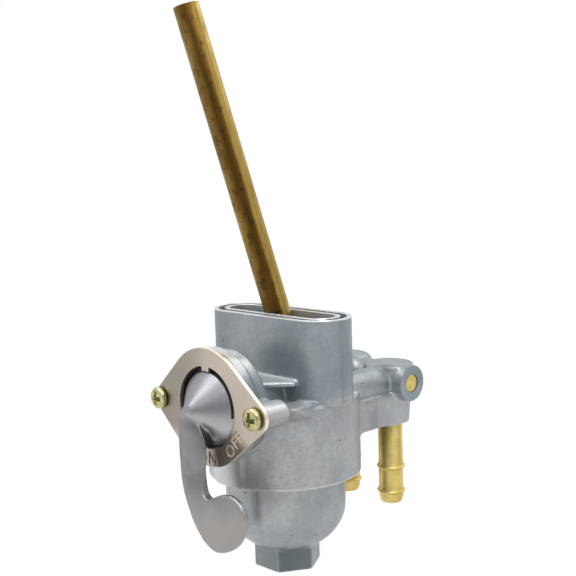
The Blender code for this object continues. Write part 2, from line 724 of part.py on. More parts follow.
def blade_web():
    """The web that carries the blade's root on the cone."""
    front = BLADE_BACK_Y - BLADE_THICK / 2
    back = PLATE_FRONT_Y
    low = -HUB_R + BLADE_THICK / 2
    half = BLADE_HALF * BLADE_WEB_SHARE
    outline = [(-half, low), (half, low), (CONE_TIP_R / 2, -CONE_TIP_R), (-CONE_TIP_R, -CONE_TIP_R)]
    return hull("blade_web", [(x, y, VALVE_Z + z) for x, z in outline for y in (front, back)])


def stop_notch(cone_base):
    """The arc cut from the hub in which the plate's stop tab travels."""
    half = LEVER_SWING + stop_half_angle() + 1.0
    steps = 36
    outer = arc(0, 0, CHAMBER_R + MM, 90 - half, 90 + half, steps)
    inner = arc(0, 0, HUB_NOTCH_R, 90 + half, 90 - half, steps)
    depth = cone_base + NOTCH_SUNK + FLANGE_FRONT_Y
    middle = FLANGE_FRONT_Y - depth / 2
    return flat_outline("stop_notch", [outer + inner], depth, (0, middle, VALVE_Z), FACING_FRONT)


def rotor_channel(n, angle):
    """A channel in the rotor's back face that joins two neighbouring ports."""
    low, high = angle - CHANNEL_SPAN, angle + CHANNEL_SPAN
    outline = arc(0, 0, PORT_CIRCLE_R + PORT_R, low, high, SMALL)
    outline += arc(0, 0, PORT_CIRCLE_R - PORT_R, high, low, SMALL)
    return flat_outline(
        f"rotor_channel_{n}", [outline], 2 * MM, (0, RUBBER_FRONT_Y - GAP, VALVE_Z), FACING_FRONT,
    )


def build_wave_washer(mat):
    """The springy washer between the rotor and the plate, waved all the way round."""
    inner_r = HUB_R + GAP
    outer_r = inner_r + WASHER_WIDTH
    space = FLANGE_FRONT_Y - PLATE_BACK_Y - 2 * GAP - WASHER_THICK
    middle = (FLANGE_FRONT_Y + PLATE_BACK_Y) / 2
    ring = flat_outline(
        "wave_washer", [circle(0, 0, outer_r, FINE), circle(0, 0, inner_r, FINE)], WASHER_THICK,
        (0, middle, VALVE_Z), FACING_FRONT, part=True,
    )
    for vert in ring.data.vertices:
        vert.co.z += space / 2 * math.cos(WASHER_WAVES * math.atan2(vert.co.y, vert.co.x))
    return finish(ring, mat)


def build_plate(mat):
    """The stamped plate: round middle, two ears, hub hole with a stop tab, screw holes."""
    tangent = math.degrees(math.acos((PLATE_R - PLATE_EAR_R) / SCREW_X))
    edge = (
        arc(0, 0, PLATE_R, tangent, 180 - tangent, 28) + arc(-SCREW_X, 0, PLATE_EAR_R, 180 - tangent, 180 + tangent, 12)
        + arc(0, 0, PLATE_R, 180 + tangent, 360 - tangent, 28) + arc(SCREW_X, 0, PLATE_EAR_R, -tangent, tangent, 12)
    )
    half_tab = math.degrees(math.asin(STOP_TAB_WIDTH / 2 / PLATE_HOLE_R))
    tab_r = PLATE_HOLE_R - STOP_TAB_DEPTH
    hole = arc(0, 0, PLATE_HOLE_R, 90 + half_tab, 450 - half_tab, FINE)
    hole += arc(0, 0, tab_r, 90 - half_tab, 90 + half_tab, 4)
    screw_holes = [circle(side * SCREW_X, 0, SCREW_SHANK_R + GAP) for side in (-1, 1)]
    plate = flat_outline(
        "lever_plate", [edge, hole] + screw_holes, PLATE_THICK,
        (0, (PLATE_BACK_Y + PLATE_FRONT_Y) / 2, VALVE_Z), FACING_FRONT, part=True,
    )
    return finish(plate, mat)


def build_screw(name, side, mat):
    """A pan-head screw with a cross recess."""
    seat = -PLATE_FRONT_Y + GAP
    head_r, head_h = SCREW_HEAD_R, SCREW_HEAD_H
    tip = seat - GAP - PLATE_THICK - SCREW_LENGTH + 2 * GAP
    screw = turned(name, [
        (0, seat + head_h), (head_r * 0.45, seat + head_h - 0.04 * MM), (head_r * 0.8, seat + head_h * 0.82),
        (head_r, seat + head_h * 0.45), (head_r, seat), (SCREW_SHANK_R, seat), (SCREW_SHANK_R, tip + 0.4 * MM),
        (SCREW_SHANK_R - 0.4 * MM, tip), (0, tip),
    ], place=(side * SCREW_X, 0, VALVE_Z), turn=FACING_FRONT, steps=MEDIUM, part=True)
    finish(screw, mat)
    front = -seat - head_h
    half, span = RECESS_WIDTH / 2, RECESS_SPAN / 2
    x = side * SCREW_X
    low_y, high_y = front - MM, front + RECESS_DEPTH
    upright = box(name + "_slot_a", (x - half, low_y, VALVE_Z - span), (x + half, high_y, VALVE_Z + span))
    level = box(name + "_slot_b", (x - span, low_y, VALVE_Z - half), (x + span, high_y - 0.05 * MM, VALVE_Z + half))
    cut(screw, [upright, level])
    return screw


def bowl_outer(offset=0.0, steps=9):
    """The bowl's outer side from its seat down to the hexagon."""
    top = BODY_BOTTOM_Z - GAP
    radius = BOWL_R + offset
    points = [(radius - RIM_BEVEL, top), (radius, top - RIM_BEVEL), (radius, BOWL_STRAIGHT_Z)]
    last = math.acos(HEX_FLATS / 2 * 0.9 / radius)
    for i in range(1, steps + 1):
        a = last * i / steps
        points.append((radius * math.cos(a), BOWL_STRAIGHT_Z - (BOWL_DOME_H + offset) * math.sin(a)))
    return points


def bowl_inner(steps=6):
    """The bowl's cavity from its floor up to the collar."""
    depth = BOWL_STRAIGHT_Z - BOWL_FLOOR
    angles = [math.pi / 2 * (1 - i / steps) for i in range(steps + 1)]
    return [(BOWL_CAVITY_R * math.cos(a), BOWL_STRAIGHT_Z - depth * math.sin(a)) for a in angles]


def build_bowl(mat):
    """The screw-on sediment bowl with its collar, grip ribs and hexagon."""
    top = BODY_BOTTOM_Z - GAP
    collar_top = top + GAP + COLLAR_HEIGHT
    profile = bowl_inner() + [(BOWL_CAVITY_R, collar_top)]
    profile += [(COLLAR_R - 0.3 * MM, collar_top), (COLLAR_R, collar_top - 0.3 * MM), (COLLAR_R, top)]
    profile += bowl_outer()
    profile += [(0, profile[-1][1])]
    bowl = turned("sediment_bowl", profile, part=True)
    finish(bowl, mat)
    circumradius = HEX_FLATS / math.sqrt(3)
    hexagon = cylinder("hexagon", circumradius, (0, 0, 0), (0, 0, HEX_HEIGHT), 6)
    hexagon.rotation_euler = (0, 0, math.radians(30))
    round_off = turned("hexagon_chamfer", [
        (0, 2 * HEX_HEIGHT), (circumradius + MM, 2 * HEX_HEIGHT), (circumradius + MM, HEX_CHAMFER + 0.6 * MM),
        (HEX_FLATS / 2 - 0.1 * MM, 0), (0, 0),
    ], steps=MEDIUM)
    apply_boolean(hexagon, round_off, "INTERSECT")
    join(bowl, [hexagon, bowl_rib(-1), bowl_rib(1)])
    return bowl


def bowl_rib(side):
    """One raised grip rib on the bowl, following its side and dome."""
    outline = bowl_outer(BOWL_RIB_PROUD)
    name = "bowl_rib_" + ("front" if side < 0 else "back")
    rib = turned(name, [(0, outline[0][1])] + outline + [(0, outline[-1][1])])
    half = BOWL_RIB_WIDTH / 2
    near, far = sorted((side * (BOWL_CAVITY_R + RIB_ROOT), side * 2 * BOWL_R))
    slot = box(name + "_slot", (-half, near, BOWL_RIB_LOW_Z), (half, far, BODY_BOTTOM_Z - GAP - RIM_BEVEL))
    apply_boolean(rib, slot, "INTERSECT")
    return rib


def build_bowl_ring(mat):
    """The rubber ring between the bowl's collar and the body."""
    low = BODY_BOTTOM_Z + COLLAR_HEIGHT + GAP
    middle_z = (low + RECESS_TOP_Z - GAP) / 2
    middle_r = RECESS_R - GAP - RING_MINOR_R
    section = circle(middle_r, middle_z, RING_MINOR_R, 10)
    ring = turned("bowl_seal_ring", list(reversed(section)), steps=MEDIUM, closed=True, part=True)
    return finish(ring, mat, 60)


def build_strainer(frame_mat, screen_mat):
    """The strainer: a moulded frame and the gauze cup inside it."""
    top = RECESS_TOP_Z - GAP
    inner = STRAINER_R + GAP
    outer = inner + FRAME_RIB
    low = STRAINER_BOTTOM_Z
    rim_low = top - STRAINER_RIM_H - FRAME_RIB / 2
    frame = turned("strainer_frame", [
        (STRAINER_RIM_R, top), (STRAINER_RIM_R, top - STRAINER_RIM_H), (outer, rim_low), (outer, low),
        (inner, low), (inner, top),
    ], steps=MEDIUM, closed=True, part=True)
    finish(frame, frame_mat)
    window_low, window_high = low + FRAME_RIB, rim_low - FRAME_RIB
    window_half = math.pi * STRAINER_R / FRAME_RIBS - FRAME_RIB
    for n in range(FRAME_RIBS):
        window = box(
            f"strainer_window_{n}", (inner / 2, -window_half, window_low), (outer + MM, window_half, window_high),
        )
        window.rotation_euler = (0, 0, 2 * math.pi * (n + 0.5) / FRAME_RIBS)
        cut(frame, [window])
    r, wall = STRAINER_R, STRAINER_WALL
    screen = turned("strainer_screen", [
        (0, low + wall), (r - wall, low + wall), (r - wall, top), (r, top), (r, low), (0, low),
    ], steps=MEDIUM, part=True)
    finish(screen, screen_mat)
    return frame, screen


def main():
    """Build every piece of the tap."""
    reset_scene()
    cast = material("cast_alloy", (0.36, 0.38, 0.39), 0.45, 0.85)
    lever_cast = material("lever_alloy", (0.28, 0.28, 0.29), 0.4, 0.9)
    nickel = material("plated_steel", (0.5, 0.43, 0.36), 0.28, 1.0)
    zinc = material("yellow_zinc", (0.55, 0.52, 0.25), 0.3, 1.0)
    old_brass = material("aged_brass", (0.3, 0.18, 0.05), 0.4, 1.0)
    brass = material("bright_brass", (0.62, 0.47, 0.14), 0.28, 1.0)
    rubber = material("black_rubber", (0.02, 0.02, 0.02), 0.8, 0.0)
    spring = material("spring_steel", (0.4, 0.4, 0.4), 0.35, 1.0)
    nylon = material("strainer_nylon", (0.6, 0.6, 0.55), 0.5, 0.0)
    gauze = material("brass_gauze", (0.5, 0.38, 0.15), 0.5, 0.9)
    build_body(cast)
    build_standpipe(old_brass)
    build_barb("outlet_barb_near", NEAR_OUTLET_X, brass)
    build_barb("outlet_barb_far", FAR_OUTLET_X, brass)
    build_plug(brass)
    build_valve_rubber(rubber)
    build_lever(lever_cast)
    build_wave_washer(spring)
    build_plate(nickel)
    build_screw("plate_screw_left", -1, zinc)
    build_screw("plate_screw_right", 1, zinc)
    build_bowl(cast)
    build_bowl_ring(rubber)
    build_strainer(nylon, gauze)


main()
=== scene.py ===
"""Dressed fuel tap: die-cast body, lever valve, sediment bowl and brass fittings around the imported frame.

Lengths are metres in the part's own frame: +Z up, origin under the bowl's hexagon, valve facing -Y.
"""

from __future__ import annotations

import logging
import math
from collections.abc import Callable, Sequence
from dataclasses import dataclass
from enum import Enum
from typing import Any

import bmesh
import bpy
import numpy as np
from mathutils import Matrix, Vector, noise

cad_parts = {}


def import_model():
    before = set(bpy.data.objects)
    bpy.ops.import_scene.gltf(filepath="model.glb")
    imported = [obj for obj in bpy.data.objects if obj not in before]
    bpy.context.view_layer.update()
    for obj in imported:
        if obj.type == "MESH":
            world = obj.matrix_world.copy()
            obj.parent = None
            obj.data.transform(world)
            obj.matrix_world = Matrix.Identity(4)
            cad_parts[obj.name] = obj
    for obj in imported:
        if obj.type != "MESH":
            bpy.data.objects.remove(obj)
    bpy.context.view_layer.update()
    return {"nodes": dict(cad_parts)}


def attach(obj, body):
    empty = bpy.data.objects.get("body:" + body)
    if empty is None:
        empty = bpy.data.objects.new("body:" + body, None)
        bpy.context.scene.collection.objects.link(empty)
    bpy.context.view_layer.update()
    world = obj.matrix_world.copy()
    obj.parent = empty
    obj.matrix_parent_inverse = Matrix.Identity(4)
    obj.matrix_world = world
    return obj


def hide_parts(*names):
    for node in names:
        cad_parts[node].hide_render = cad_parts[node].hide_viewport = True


Object = bpy.types.Object
Mesh = bpy.types.Mesh
Material = bpy.types.Material
Socket = bpy.types.NodeSocket

MM = 0.001
LOG = logging.getLogger("fuel_tap")

Point = tuple[float, float, float]
Flat = tuple[float, float]
Colour = tuple[float, float, float]
ORIGIN: Point = (0.0, 0.0, 0.0)
SIDES = (-1, 1)
# How far cast shapes stand past a face that is machined later.
SPARE = 0.8 * MM


class Body(Enum):
    """The rigid bodies of the frame."""

    TAP = "tap_body"
    LEVER = "lever_body"


class Slot(Enum):
    """The record's material slots."""

    CAST = "cast_alloy"
    LEVER = "lever_alloy"
    PLATED = "plated_steel"
    ZINC = "yellow_zinc"
    AGED_BRASS = "aged_brass"
    BRIGHT_BRASS = "bright_brass"
    RUBBER = "black_rubber"
    SPRING = "spring_steel"
    NYLON = "strainer_nylon"
    GAUZE = "brass_gauze"


class Cut(Enum):
    """What a Boolean does with its operand."""

    AWAY = "DIFFERENCE"
    KEEP = "INTERSECT"


@dataclass
class TapPiece:
    """The sizes that several pieces share."""

    valve_z: float = 42.0 * MM
    screw_x: float = 15.9 * MM
    outlet_xs: Flat = (10.1 * MM, -4.3 * MM)
    outlet_y: float = 27.0 * MM
    passage_z: float = 41.0 * MM
    plug_x: float = 17.3 * MM
    pipe_spot: Flat = (-0.5 * MM, 0.1 * MM)


# ---- node trees


class Wire:
    """A socket that takes part in Python sums: each operator adds a Math node."""

    def __init__(self, graph: Graph, socket: Socket) -> None:
        """Wrap an output socket of a graph."""
        self.graph = graph
        self.socket = socket

    def _math(self, operation: str, first: Any, second: Any = 0.0) -> Wire:
        """Add a Math node for two values."""
        return self.graph.node("ShaderNodeMath", {"operation": operation}, {0: first, 1: second})

    def __add__(self, other: Any) -> Wire:
        """Sum."""
        return self._math("ADD", self, other)

    def __radd__(self, other: Any) -> Wire:
        """Sum with the plain number first."""
        return self._math("ADD", other, self)

    def __sub__(self, other: Any) -> Wire:
        """Difference."""
        return self._math("SUBTRACT", self, other)

    def __rsub__(self, other: Any) -> Wire:
        """Difference from a plain number."""
        return self._math("SUBTRACT", other, self)

    def __mul__(self, other: Any) -> Wire:
        """Product."""
        return self._math("MULTIPLY", self, other)

    def __rmul__(self, other: Any) -> Wire:
        """Product with the plain number first."""
        return self._math("MULTIPLY", other, self)

    def __pow__(self, other: Any) -> Wire:
        """Power."""
        return self._math("POWER", self, other)

    def larger(self, other: Any) -> Wire:
        """The larger of the two."""
        return self._math("MAXIMUM", self, other)

    def ramp(self, low: float, high: float, start: float = 0.0, end: float = 1.0) -> Wire:
        """Map a range of this value to another, smoothly and clamped.

        Args:
            low: Where the change begins.
            high: Where it ends.
            start: The result at low.
            end: The result at high.

        Returns:
            The mapped value.
        """
        return self.graph.node(
            "ShaderNodeMapRange", {"interpolation_type": "SMOOTHSTEP"},
            {"Value": self, "From Min": low, "From Max": high, "To Min": start, "To Max": end},
        )


class Graph:
    """A node tree of any kind that is built node by node."""

    def __init__(self, tree: bpy.types.NodeTree) -> None:
        """Take a tree."""
        self.tree = tree

    def node(
        self, kind: str, settings: dict[str, Any] | None = None, inputs: dict[Any, Any] | None = None,
        out: int | str = 0,
    ) -> Wire:
        """Add a node.

        Args:
            kind: The node's type.
            settings: Its own settings, set before its sockets.
            inputs: Values or wires for its sockets, by name or number.
            out: The output that is wanted.

        Returns:
            That output.
        """
        node = self.tree.nodes.new(kind)
        for key, value in (settings or {}).items():
            setattr(node, key, value)
        for key, value in (inputs or {}).items():
            self.feed(node.inputs[key], value)
        return Wire(self, node.outputs[out])

    def feed(self, socket: Socket, value: Any) -> None:
        """Link a wire to a socket, or set its value.

        Args:
            socket: The input socket.
            value: A wire or a plain value.
        """
        if isinstance(value, Wire):
            self.tree.links.new(value.socket, socket)
        elif isinstance(value, tuple) and len(value) == 3 and socket.type == "RGBA":
            socket.default_value = (*value, 1.0)
        else:
            socket.default_value = value


class Shader(Graph):
    """One material's or world's nodes."""

    def __init__(self, name: str, library: Any = None) -> None:
        """Make the material or world.

        Args:
            name: Its name.
            library: Where it is made, or None for the materials.
        """
        self.owner = (bpy.data.materials if library is None else library).new(name)
        self.owner.use_nodes = True
        super().__init__(self.owner.node_tree)

    @property
    def output(self) -> Socket:
        """The socket that takes a material's surface."""
        return self.tree.nodes["Material Output"].inputs["Surface"]

    def place(self, scale: Point = (1.0, 1.0, 1.0), turn: Point = ORIGIN, shift: Point = ORIGIN) -> Wire:
        """Object coordinates, stretched and turned.

        Args:
            scale: Stretch along each axis.
            turn: Turn about each axis, in radians.
            shift: Offset of the pattern.

        Returns:
            The coordinates.
        """
        spot = self.node("ShaderNodeTexCoord", out="Object")
        inputs = {"Vector": spot, "Scale": scale, "Rotation": turn, "Location": shift}
        return self.node("ShaderNodeMapping", None, inputs)

    def noise(self, scale: float, detail: float = 3.0, rough: float = 0.55, where: Wire | None = None) -> Wire:
        """Noise on the surface.

        Args:
            scale: Features in a metre.
            detail: Octaves.
            rough: How strong the fine ones are.
            where: Coordinates, or None for plain object coordinates.

        Returns:
            The noise, about 0.5.
        """
        return self.node(
            "ShaderNodeTexNoise", None,
            {"Vector": where or self.place(), "Scale": scale, "Detail": detail, "Roughness": rough},
        )

    def cells(self, scale: float) -> Wire:
        """Distance to the nearest of scattered points, so many in a metre."""
        return self.node("ShaderNodeTexVoronoi", None, {"Vector": self.place(), "Scale": scale})

    def attribute(self, name: str) -> Wire:
        """A value kept in the mesh."""
        return self.node("ShaderNodeAttribute", {"attribute_name": name}, out="Fac")

    def mix(self, share: Any, first: Any, second: Any) -> Wire:
        """Blend two colours or wires by a share of the second."""
        return self.node("ShaderNodeMix", {"data_type": "RGBA"}, {0: share, 6: first, 7: second}, out=2)

    def bump(self, height: Wire, depth: float, strength: float = 1.0) -> Wire:
        """A normal bumped by a relief from 0 to 1 that is so many metres deep."""
        return self.node("ShaderNodeBump", None, {"Height": height, "Distance": depth, "Strength": strength})

    def dress(self, **inputs: Any) -> Material:
        """Set the sockets of a material's Principled BSDF.

        Args:
            **inputs: Socket names, with _ for a space, and their values or wires.

        Returns:
            The material.
        """
        surface = self.tree.nodes["Principled BSDF"]
        for key, value in inputs.items():
            self.feed(surface.inputs[key.replace("_", " ")], value)
        return self.owner


# ---- finishes


@dataclass(frozen=True)
class CastAlloy:
    """Bare die-cast alloy: flow marks, pits, polished edges with painted highlights, dark corners with painted shadow,
    and painted shade with a bluish reflection.
    """

    name: str = "cast_alloy_skin"
    light: Colour = (0.355, 0.368, 0.378)
    dark: Colour = (0.23, 0.243, 0.256)
    # The colour that the painted shade and the painted bluish reflection darken towards.
    shade_tint: Colour = (0.115, 0.18, 0.212)
    roughness: float = 0.42
    pits: float = 1.0
    scratches: float = 0.5

    def material(self) -> Material:
        """Paint the finish.

        Returns:
            The material.
        """
        s = Shader(self.name)
        cloud = s.noise(95.0, 5.0, 0.62)
        flow = s.noise(70.0, 5.0, 0.62, s.place((1.0, 1.0, 0.75)))
        grain = s.noise(2600.0, 2.0, 0.6)
        mottle = s.noise(850.0, 4.0, 0.7)
        colour = s.mix(flow.ramp(0.34, 0.7), self.light, self.dark)
        colour = s.mix(cloud.ramp(0.5, 0.72, 0.0, 0.3), colour, (0.29, 0.33, 0.35))
        colour = s.mix(mottle.ramp(0.42, 0.72, 0.0, 0.55), colour, self.dark)
        colour = s.mix(grain.ramp(0.5, 0.8, 0.0, 0.35), colour, (0.55, 0.56, 0.57))
        # Painted shade and a painted bluish reflection, from the kept shade mask.
        colour = s.mix(s.attribute("shade") * (0.75 + flow * 0.5), colour, self.shade_tint)
        scratch = s.noise(420.0, 2.0, 0.5, s.place((1.0, 1.0, 0.045))).ramp(0.63, 0.70, 0.0, self.scratches)
        scratch = scratch * s.noise(55.0, 1.0).ramp(0.48, 0.58)
        colour = s.mix(scratch * 0.5, colour, (0.13, 0.14, 0.15))
        wobble = s.noise(900.0, 2.0)
        pit = (s.cells(330.0) + wobble * 0.16).ramp(0.145, 0.185, self.pits, 0.0)
        pit = pit * s.noise(75.0, 1.0).ramp(0.5, 0.56)
        colour = s.mix(pit * 0.75, colour, (0.05, 0.055, 0.06))
        wear = s.attribute("wear")
        grime = s.attribute("grime")
        # Lighter at worn edges and where a highlight is painted; darker in corners and where a shadow is painted.
        colour = s.mix(wear * 0.8, colour, (0.74, 0.75, 0.76))
        colour = s.mix(grime * 0.65, colour, (0.09, 0.10, 0.11))
        rough = (self.roughness + (flow - 0.5) * 0.25 + grime * 0.25 - wear * 0.14).larger(0.2)
        relief = grain * 0.35 + mottle * 0.5 - pit * 1.2 - scratch * 0.5
        return s.dress(
            Base_Color=colour, Metallic=0.65, Roughness=rough, Normal=s.bump(relief, 0.1 * MM, 0.7),
        )


@dataclass(frozen=True)
class LeverAlloy:
    """Tumbled lever casting: smooth blade, and a hub with turned lines about the valve axis."""

    name: str = "lever_alloy_skin"
    light: Colour = (0.257, 0.259, 0.268)
    dark: Colour = (0.187, 0.19, 0.20)
    axis_z: float = TapPiece.valve_z

    def material(self) -> Material:
        """Paint the finish.

        Returns:
            The material.
        """
        s = Shader(self.name)
        patches = s.noise(120.0, 4.0, 0.6)
        fine = s.noise(1500.0, 2.0, 0.6)
        colour = s.mix(patches.ramp(0.38, 0.64), self.light, self.dark)
        colour = s.mix(s.noise(260.0, 3.0).ramp(0.55, 0.72, 0.0, 0.35), colour, (0.37, 0.33, 0.31))
        pit = (s.cells(260.0) + fine * 0.12).ramp(0.12, 0.16, 1.0, 0.0) * s.noise(90.0, 1.0).ramp(0.52, 0.58)
        colour = s.mix(pit * 0.8, colour, (0.05, 0.05, 0.055))
        spot = s.place(shift=(0.0, 0.0, -self.axis_z))
        x, z = (s.node("ShaderNodeSeparateXYZ", None, {0: spot}, axis) for axis in ("X", "Z"))
        radius = (x * x + z * z) ** 0.5
        rings = s.node(
            "ShaderNodeTexNoise", {"noise_dimensions": "1D"},
            {"W": radius, "Scale": 5200.0, "Detail": 2.0, "Roughness": 0.7},
        )
        hub = s.attribute("hub")
        wear = s.attribute("wear")
        grime = s.attribute("grime")
        colour = s.mix(hub * 0.5, colour, (0.34, 0.345, 0.375))
        colour = s.mix(s.attribute("warm") * 0.8, colour, (0.36, 0.338, 0.322))
        colour = s.mix(s.attribute("lit"), colour, (0.66, 0.63, 0.61))
        colour = s.mix(s.attribute("shade"), colour, (0.07, 0.07, 0.08))
        colour = s.mix(wear * 0.25, colour, (0.60, 0.57, 0.54))
        # Darker in corners, with a painted shadow in the stop notch.
        colour = s.mix(grime * 0.7, colour, (0.08, 0.08, 0.09))
        rough = 0.40 + (patches - 0.5) * 0.2 - hub * 0.02 + grime * 0.2
        relief = fine * 0.3 - pit + rings * hub * 0.8 + patches * 0.4
        return s.dress(Base_Color=colour, Metallic=0.9, Roughness=rough, Normal=s.bump(relief, 0.05 * MM, 0.5))


@dataclass(frozen=True)
class PlatedSteel:
    """Nickel-plated stamped steel with a warm cast, lighter and warmer at the edges from wear and a painted highlight,
    with painted shade and a painted dark reflection on the face.
    """

    name: str = "nickel_plate_skin"
    # Lit and shaded colours of the face, mixed by the painted shade mask and cloud noise.
    light: Colour = (0.53, 0.465, 0.395)
    dark: Colour = (0.31, 0.28, 0.24)

    def material(self) -> Material:
        """Paint the finish.

        Returns:
            The material.
        """
        s = Shader(self.name)
        cloud = s.noise(140.0, 4.0, 0.6)
        fine = s.noise(1400.0, 3.0, 0.6)
        rub = s.noise(300.0, 2.0, 0.5, s.place((1.0, 1.0, 0.1), (0.0, 0.6, 0.0)))
        # Painted shade from the kept shade mask, blurred by cloud noise.
        tone = s.attribute("shade") + (cloud - 0.5) * 0.5
        colour = s.mix(tone.ramp(0.0, 1.0), self.light, self.dark)
        colour = s.mix(fine.ramp(0.58, 0.75, 0.0, 0.3), colour, (0.34, 0.28, 0.24))
        wear = s.attribute("wear")
        grime = s.attribute("grime")
        # Painted highlight on the edges; painted dark reflection and darker letters.
        colour = s.mix(wear * 0.85, colour, (0.93, 0.82, 0.68))
        colour = s.mix(grime * 0.85, colour, (0.105, 0.085, 0.07))
        rough = 0.33 + (cloud - 0.5) * 0.2 + (rub - 0.5) * 0.12 + grime * 0.3
        relief = fine * 0.4 + cloud * 0.8
        return s.dress(Base_Color=colour, Metallic=0.95, Roughness=rough, Normal=s.bump(relief, 0.02 * MM, 0.5))


@dataclass(frozen=True)
class YellowZinc:
    """Yellow-passivated zinc with its green and pink shimmer."""

    name: str = "yellow_zinc_skin"

    def material(self) -> Material:
        """Paint the finish.

        Returns:
            The material.
        """
        s = Shader(self.name)
        tint = s.noise(420.0, 2.0)
        colour = s.mix(tint.ramp(0.4, 0.62), (0.60, 0.55, 0.29), (0.42, 0.42, 0.21))
        colour = s.mix(s.noise(800.0, 2.0).ramp(0.56, 0.7, 0.0, 0.5), colour, (0.62, 0.50, 0.26))
        # Darker in corners.
        grime = s.attribute("grime")
        colour = s.mix(grime * 0.9, colour, (0.07, 0.06, 0.025))
        rough = 0.24 + (tint - 0.5) * 0.15 + grime * 0.3
        grain = s.noise(1800.0, 2.0)
        return s.dress(Base_Color=colour, Metallic=1.0, Roughness=rough, Normal=s.bump(grain, 0.02 * MM, 0.4))


@dataclass(frozen=True)
class AgedBrass:
    """Tarnished drawn brass: brown and golden mottling, darker spots, a dark cut end, and a painted dark reflection
    down one side, where the mottling and spots are stronger.
    """

    name: str = "aged_brass_skin"
    gold: Colour = (0.40, 0.275, 0.068)
    brown: Colour = (0.17, 0.085, 0.022)
    spot: Colour = (0.045, 0.022, 0.01)

    def material(self) -> Material:
        """Paint the finish.

        Returns:
            The material.
        """
        s = Shader(self.name)
        blotch = s.noise(150.0, 5.0, 0.68, s.place((1.0, 1.0, 0.5)))
        drawn = s.noise(900.0, 2.0, 0.5, s.place((1.0, 1.0, 0.05)))
        spots = s.noise(520.0, 4.0, 0.7)
        # A painted dark reflection strip around the tube, from the kept shade mask; it also strengthens the mottling
        # and the spots.
        dark_reflection = s.attribute("shade")
        colour = s.mix(blotch.ramp(0.42, 0.64) * (dark_reflection * 0.5 + 0.22), self.gold, self.brown)
        strip = dark_reflection + (blotch - 0.5) * 0.55
        colour = s.mix(strip.ramp(0.05, 0.95, 0.0, 0.94), colour, (0.078, 0.037, 0.004))
        colour = s.mix(spots.ramp(0.53, 0.63, 0.0, 0.85) * (dark_reflection * 0.85 + 0.15), colour, self.spot)
        colour = s.mix(drawn.ramp(0.56, 0.72, 0.0, 0.35), colour, self.brown)
        wear = s.attribute("wear")
        colour = s.mix(wear * 0.7, colour, (0.10, 0.055, 0.02))
        rough = 0.30 + blotch.ramp(0.4, 0.7) * 0.22 + (spots - 0.5) * 0.2
        relief = spots * 0.6 + drawn * 0.5
        return s.dress(Base_Color=colour, Metallic=0.95, Roughness=rough, Normal=s.bump(relief, 0.04 * MM, 0.5))


@dataclass(frozen=True)
class BrightBrass:
    """Turned bright brass with fine rings and faint brown film."""

    name: str = "bright_brass_skin"
    gold: Colour = (0.73, 0.58, 0.205)
    deep: Colour = (0.61, 0.465, 0.14)
    ring_axis: str = "Z"

    def material(self) -> Material:
        """Paint the finish.

        Returns:
            The material.
        """
        s = Shader(self.name)
        cloud = s.noise(240.0, 4.0, 0.6)
        stretch = (0.02, 0.02, 1.0) if self.ring_axis == "Z" else (1.0, 1.0, 1.0)
        rings = s.noise(3800.0, 2.0, 0.6, s.place(stretch))
        colour = s.mix(cloud.ramp(0.4, 0.66), self.gold, self.deep)
        # Darker in corners.
        grime = s.attribute("grime")
        colour = s.mix(grime * 0.7, colour, (0.15, 0.09, 0.02))
        rough = 0.42 + (cloud - 0.5) * 0.16 + grime * 0.25
        return s.dress(
            Base_Color=colour, Metallic=1.0, Roughness=rough,
            Normal=s.bump(rings * 0.6 + cloud * 0.4, 0.02 * MM, 0.45),
        )


@dataclass(frozen=True)
class MouldedPart:
    """Moulded rubber or nylon with a fine texture."""

    name: str
    colour: Colour
    shade: Colour
    roughness: float

    def material(self) -> Material:
        """Paint the finish.

        Returns:
            The material.
        """
        s = Shader(self.name)
        cloud = s.noise(300.0, 3.0)
        grain = s.noise(3200.0, 2.0)
        colour = s.mix(cloud.ramp(0.4, 0.62), self.colour, self.shade)
        rough = self.roughness + (cloud - 0.5) * 0.12
        return s.dress(Base_Color=colour, Roughness=rough, Normal=s.bump(grain, 0.02 * MM, 0.5))


@dataclass(frozen=True)
class SpringSteel:
    """Bright spring steel with rolling lines."""

    name: str = "spring_steel_skin"

    def material(self) -> Material:
        """Paint the finish.

        Returns:
            The material.
        """
        s = Shader(self.name)
        lines = s.noise(1600.0, 2.0, 0.5, s.place((1.0, 1.0, 0.06)))
        colour = s.mix(lines.ramp(0.4, 0.62), (0.52, 0.52, 0.53), (0.36, 0.37, 0.39))
        return s.dress(Base_Color=colour, Metallic=1.0, Roughness=0.26 + lines * 0.18, Normal=s.bump(lines, 0.01 * MM))


@dataclass(frozen=True)
class BrassGauze:
    """Woven brass gauze."""

    name: str = "brass_gauze_skin"
    wires: float = 2600.0

    def material(self) -> Material:
        """Paint the finish.

        Returns:
            The material.
        """
        s = Shader(self.name)
        weave, cross = (
            s.node(
                "ShaderNodeTexWave", {"bands_direction": way}, {"Vector": s.place(), "Scale": self.wires / 6.0}, "Fac",
            )
            for way in ("Z", "DIAGONAL")
        )
        mesh = weave.larger(cross)
        colour = s.mix(mesh.ramp(0.3, 0.8), (0.08, 0.06, 0.02), (0.62, 0.48, 0.18))
        return s.dress(Base_Color=colour, Metallic=0.9, Roughness=0.3 + mesh * 0.2, Normal=s.bump(mesh, 0.06 * MM))


# ---- mesh building


def linked(name: str, data: bpy.types.ID, place: Matrix | None = None) -> Object:
    """Put data into the scene as an object.

    Args:
        name: The object's name.
        data: Its mesh, curve, lamp or camera.
        place: Where it goes, or None for the origin.

    Returns:
        The object.
    """
    obj = bpy.data.objects.new(name, data)
    bpy.context.scene.collection.objects.link(obj)
    if place is not None:
        obj.matrix_world = place
    return obj


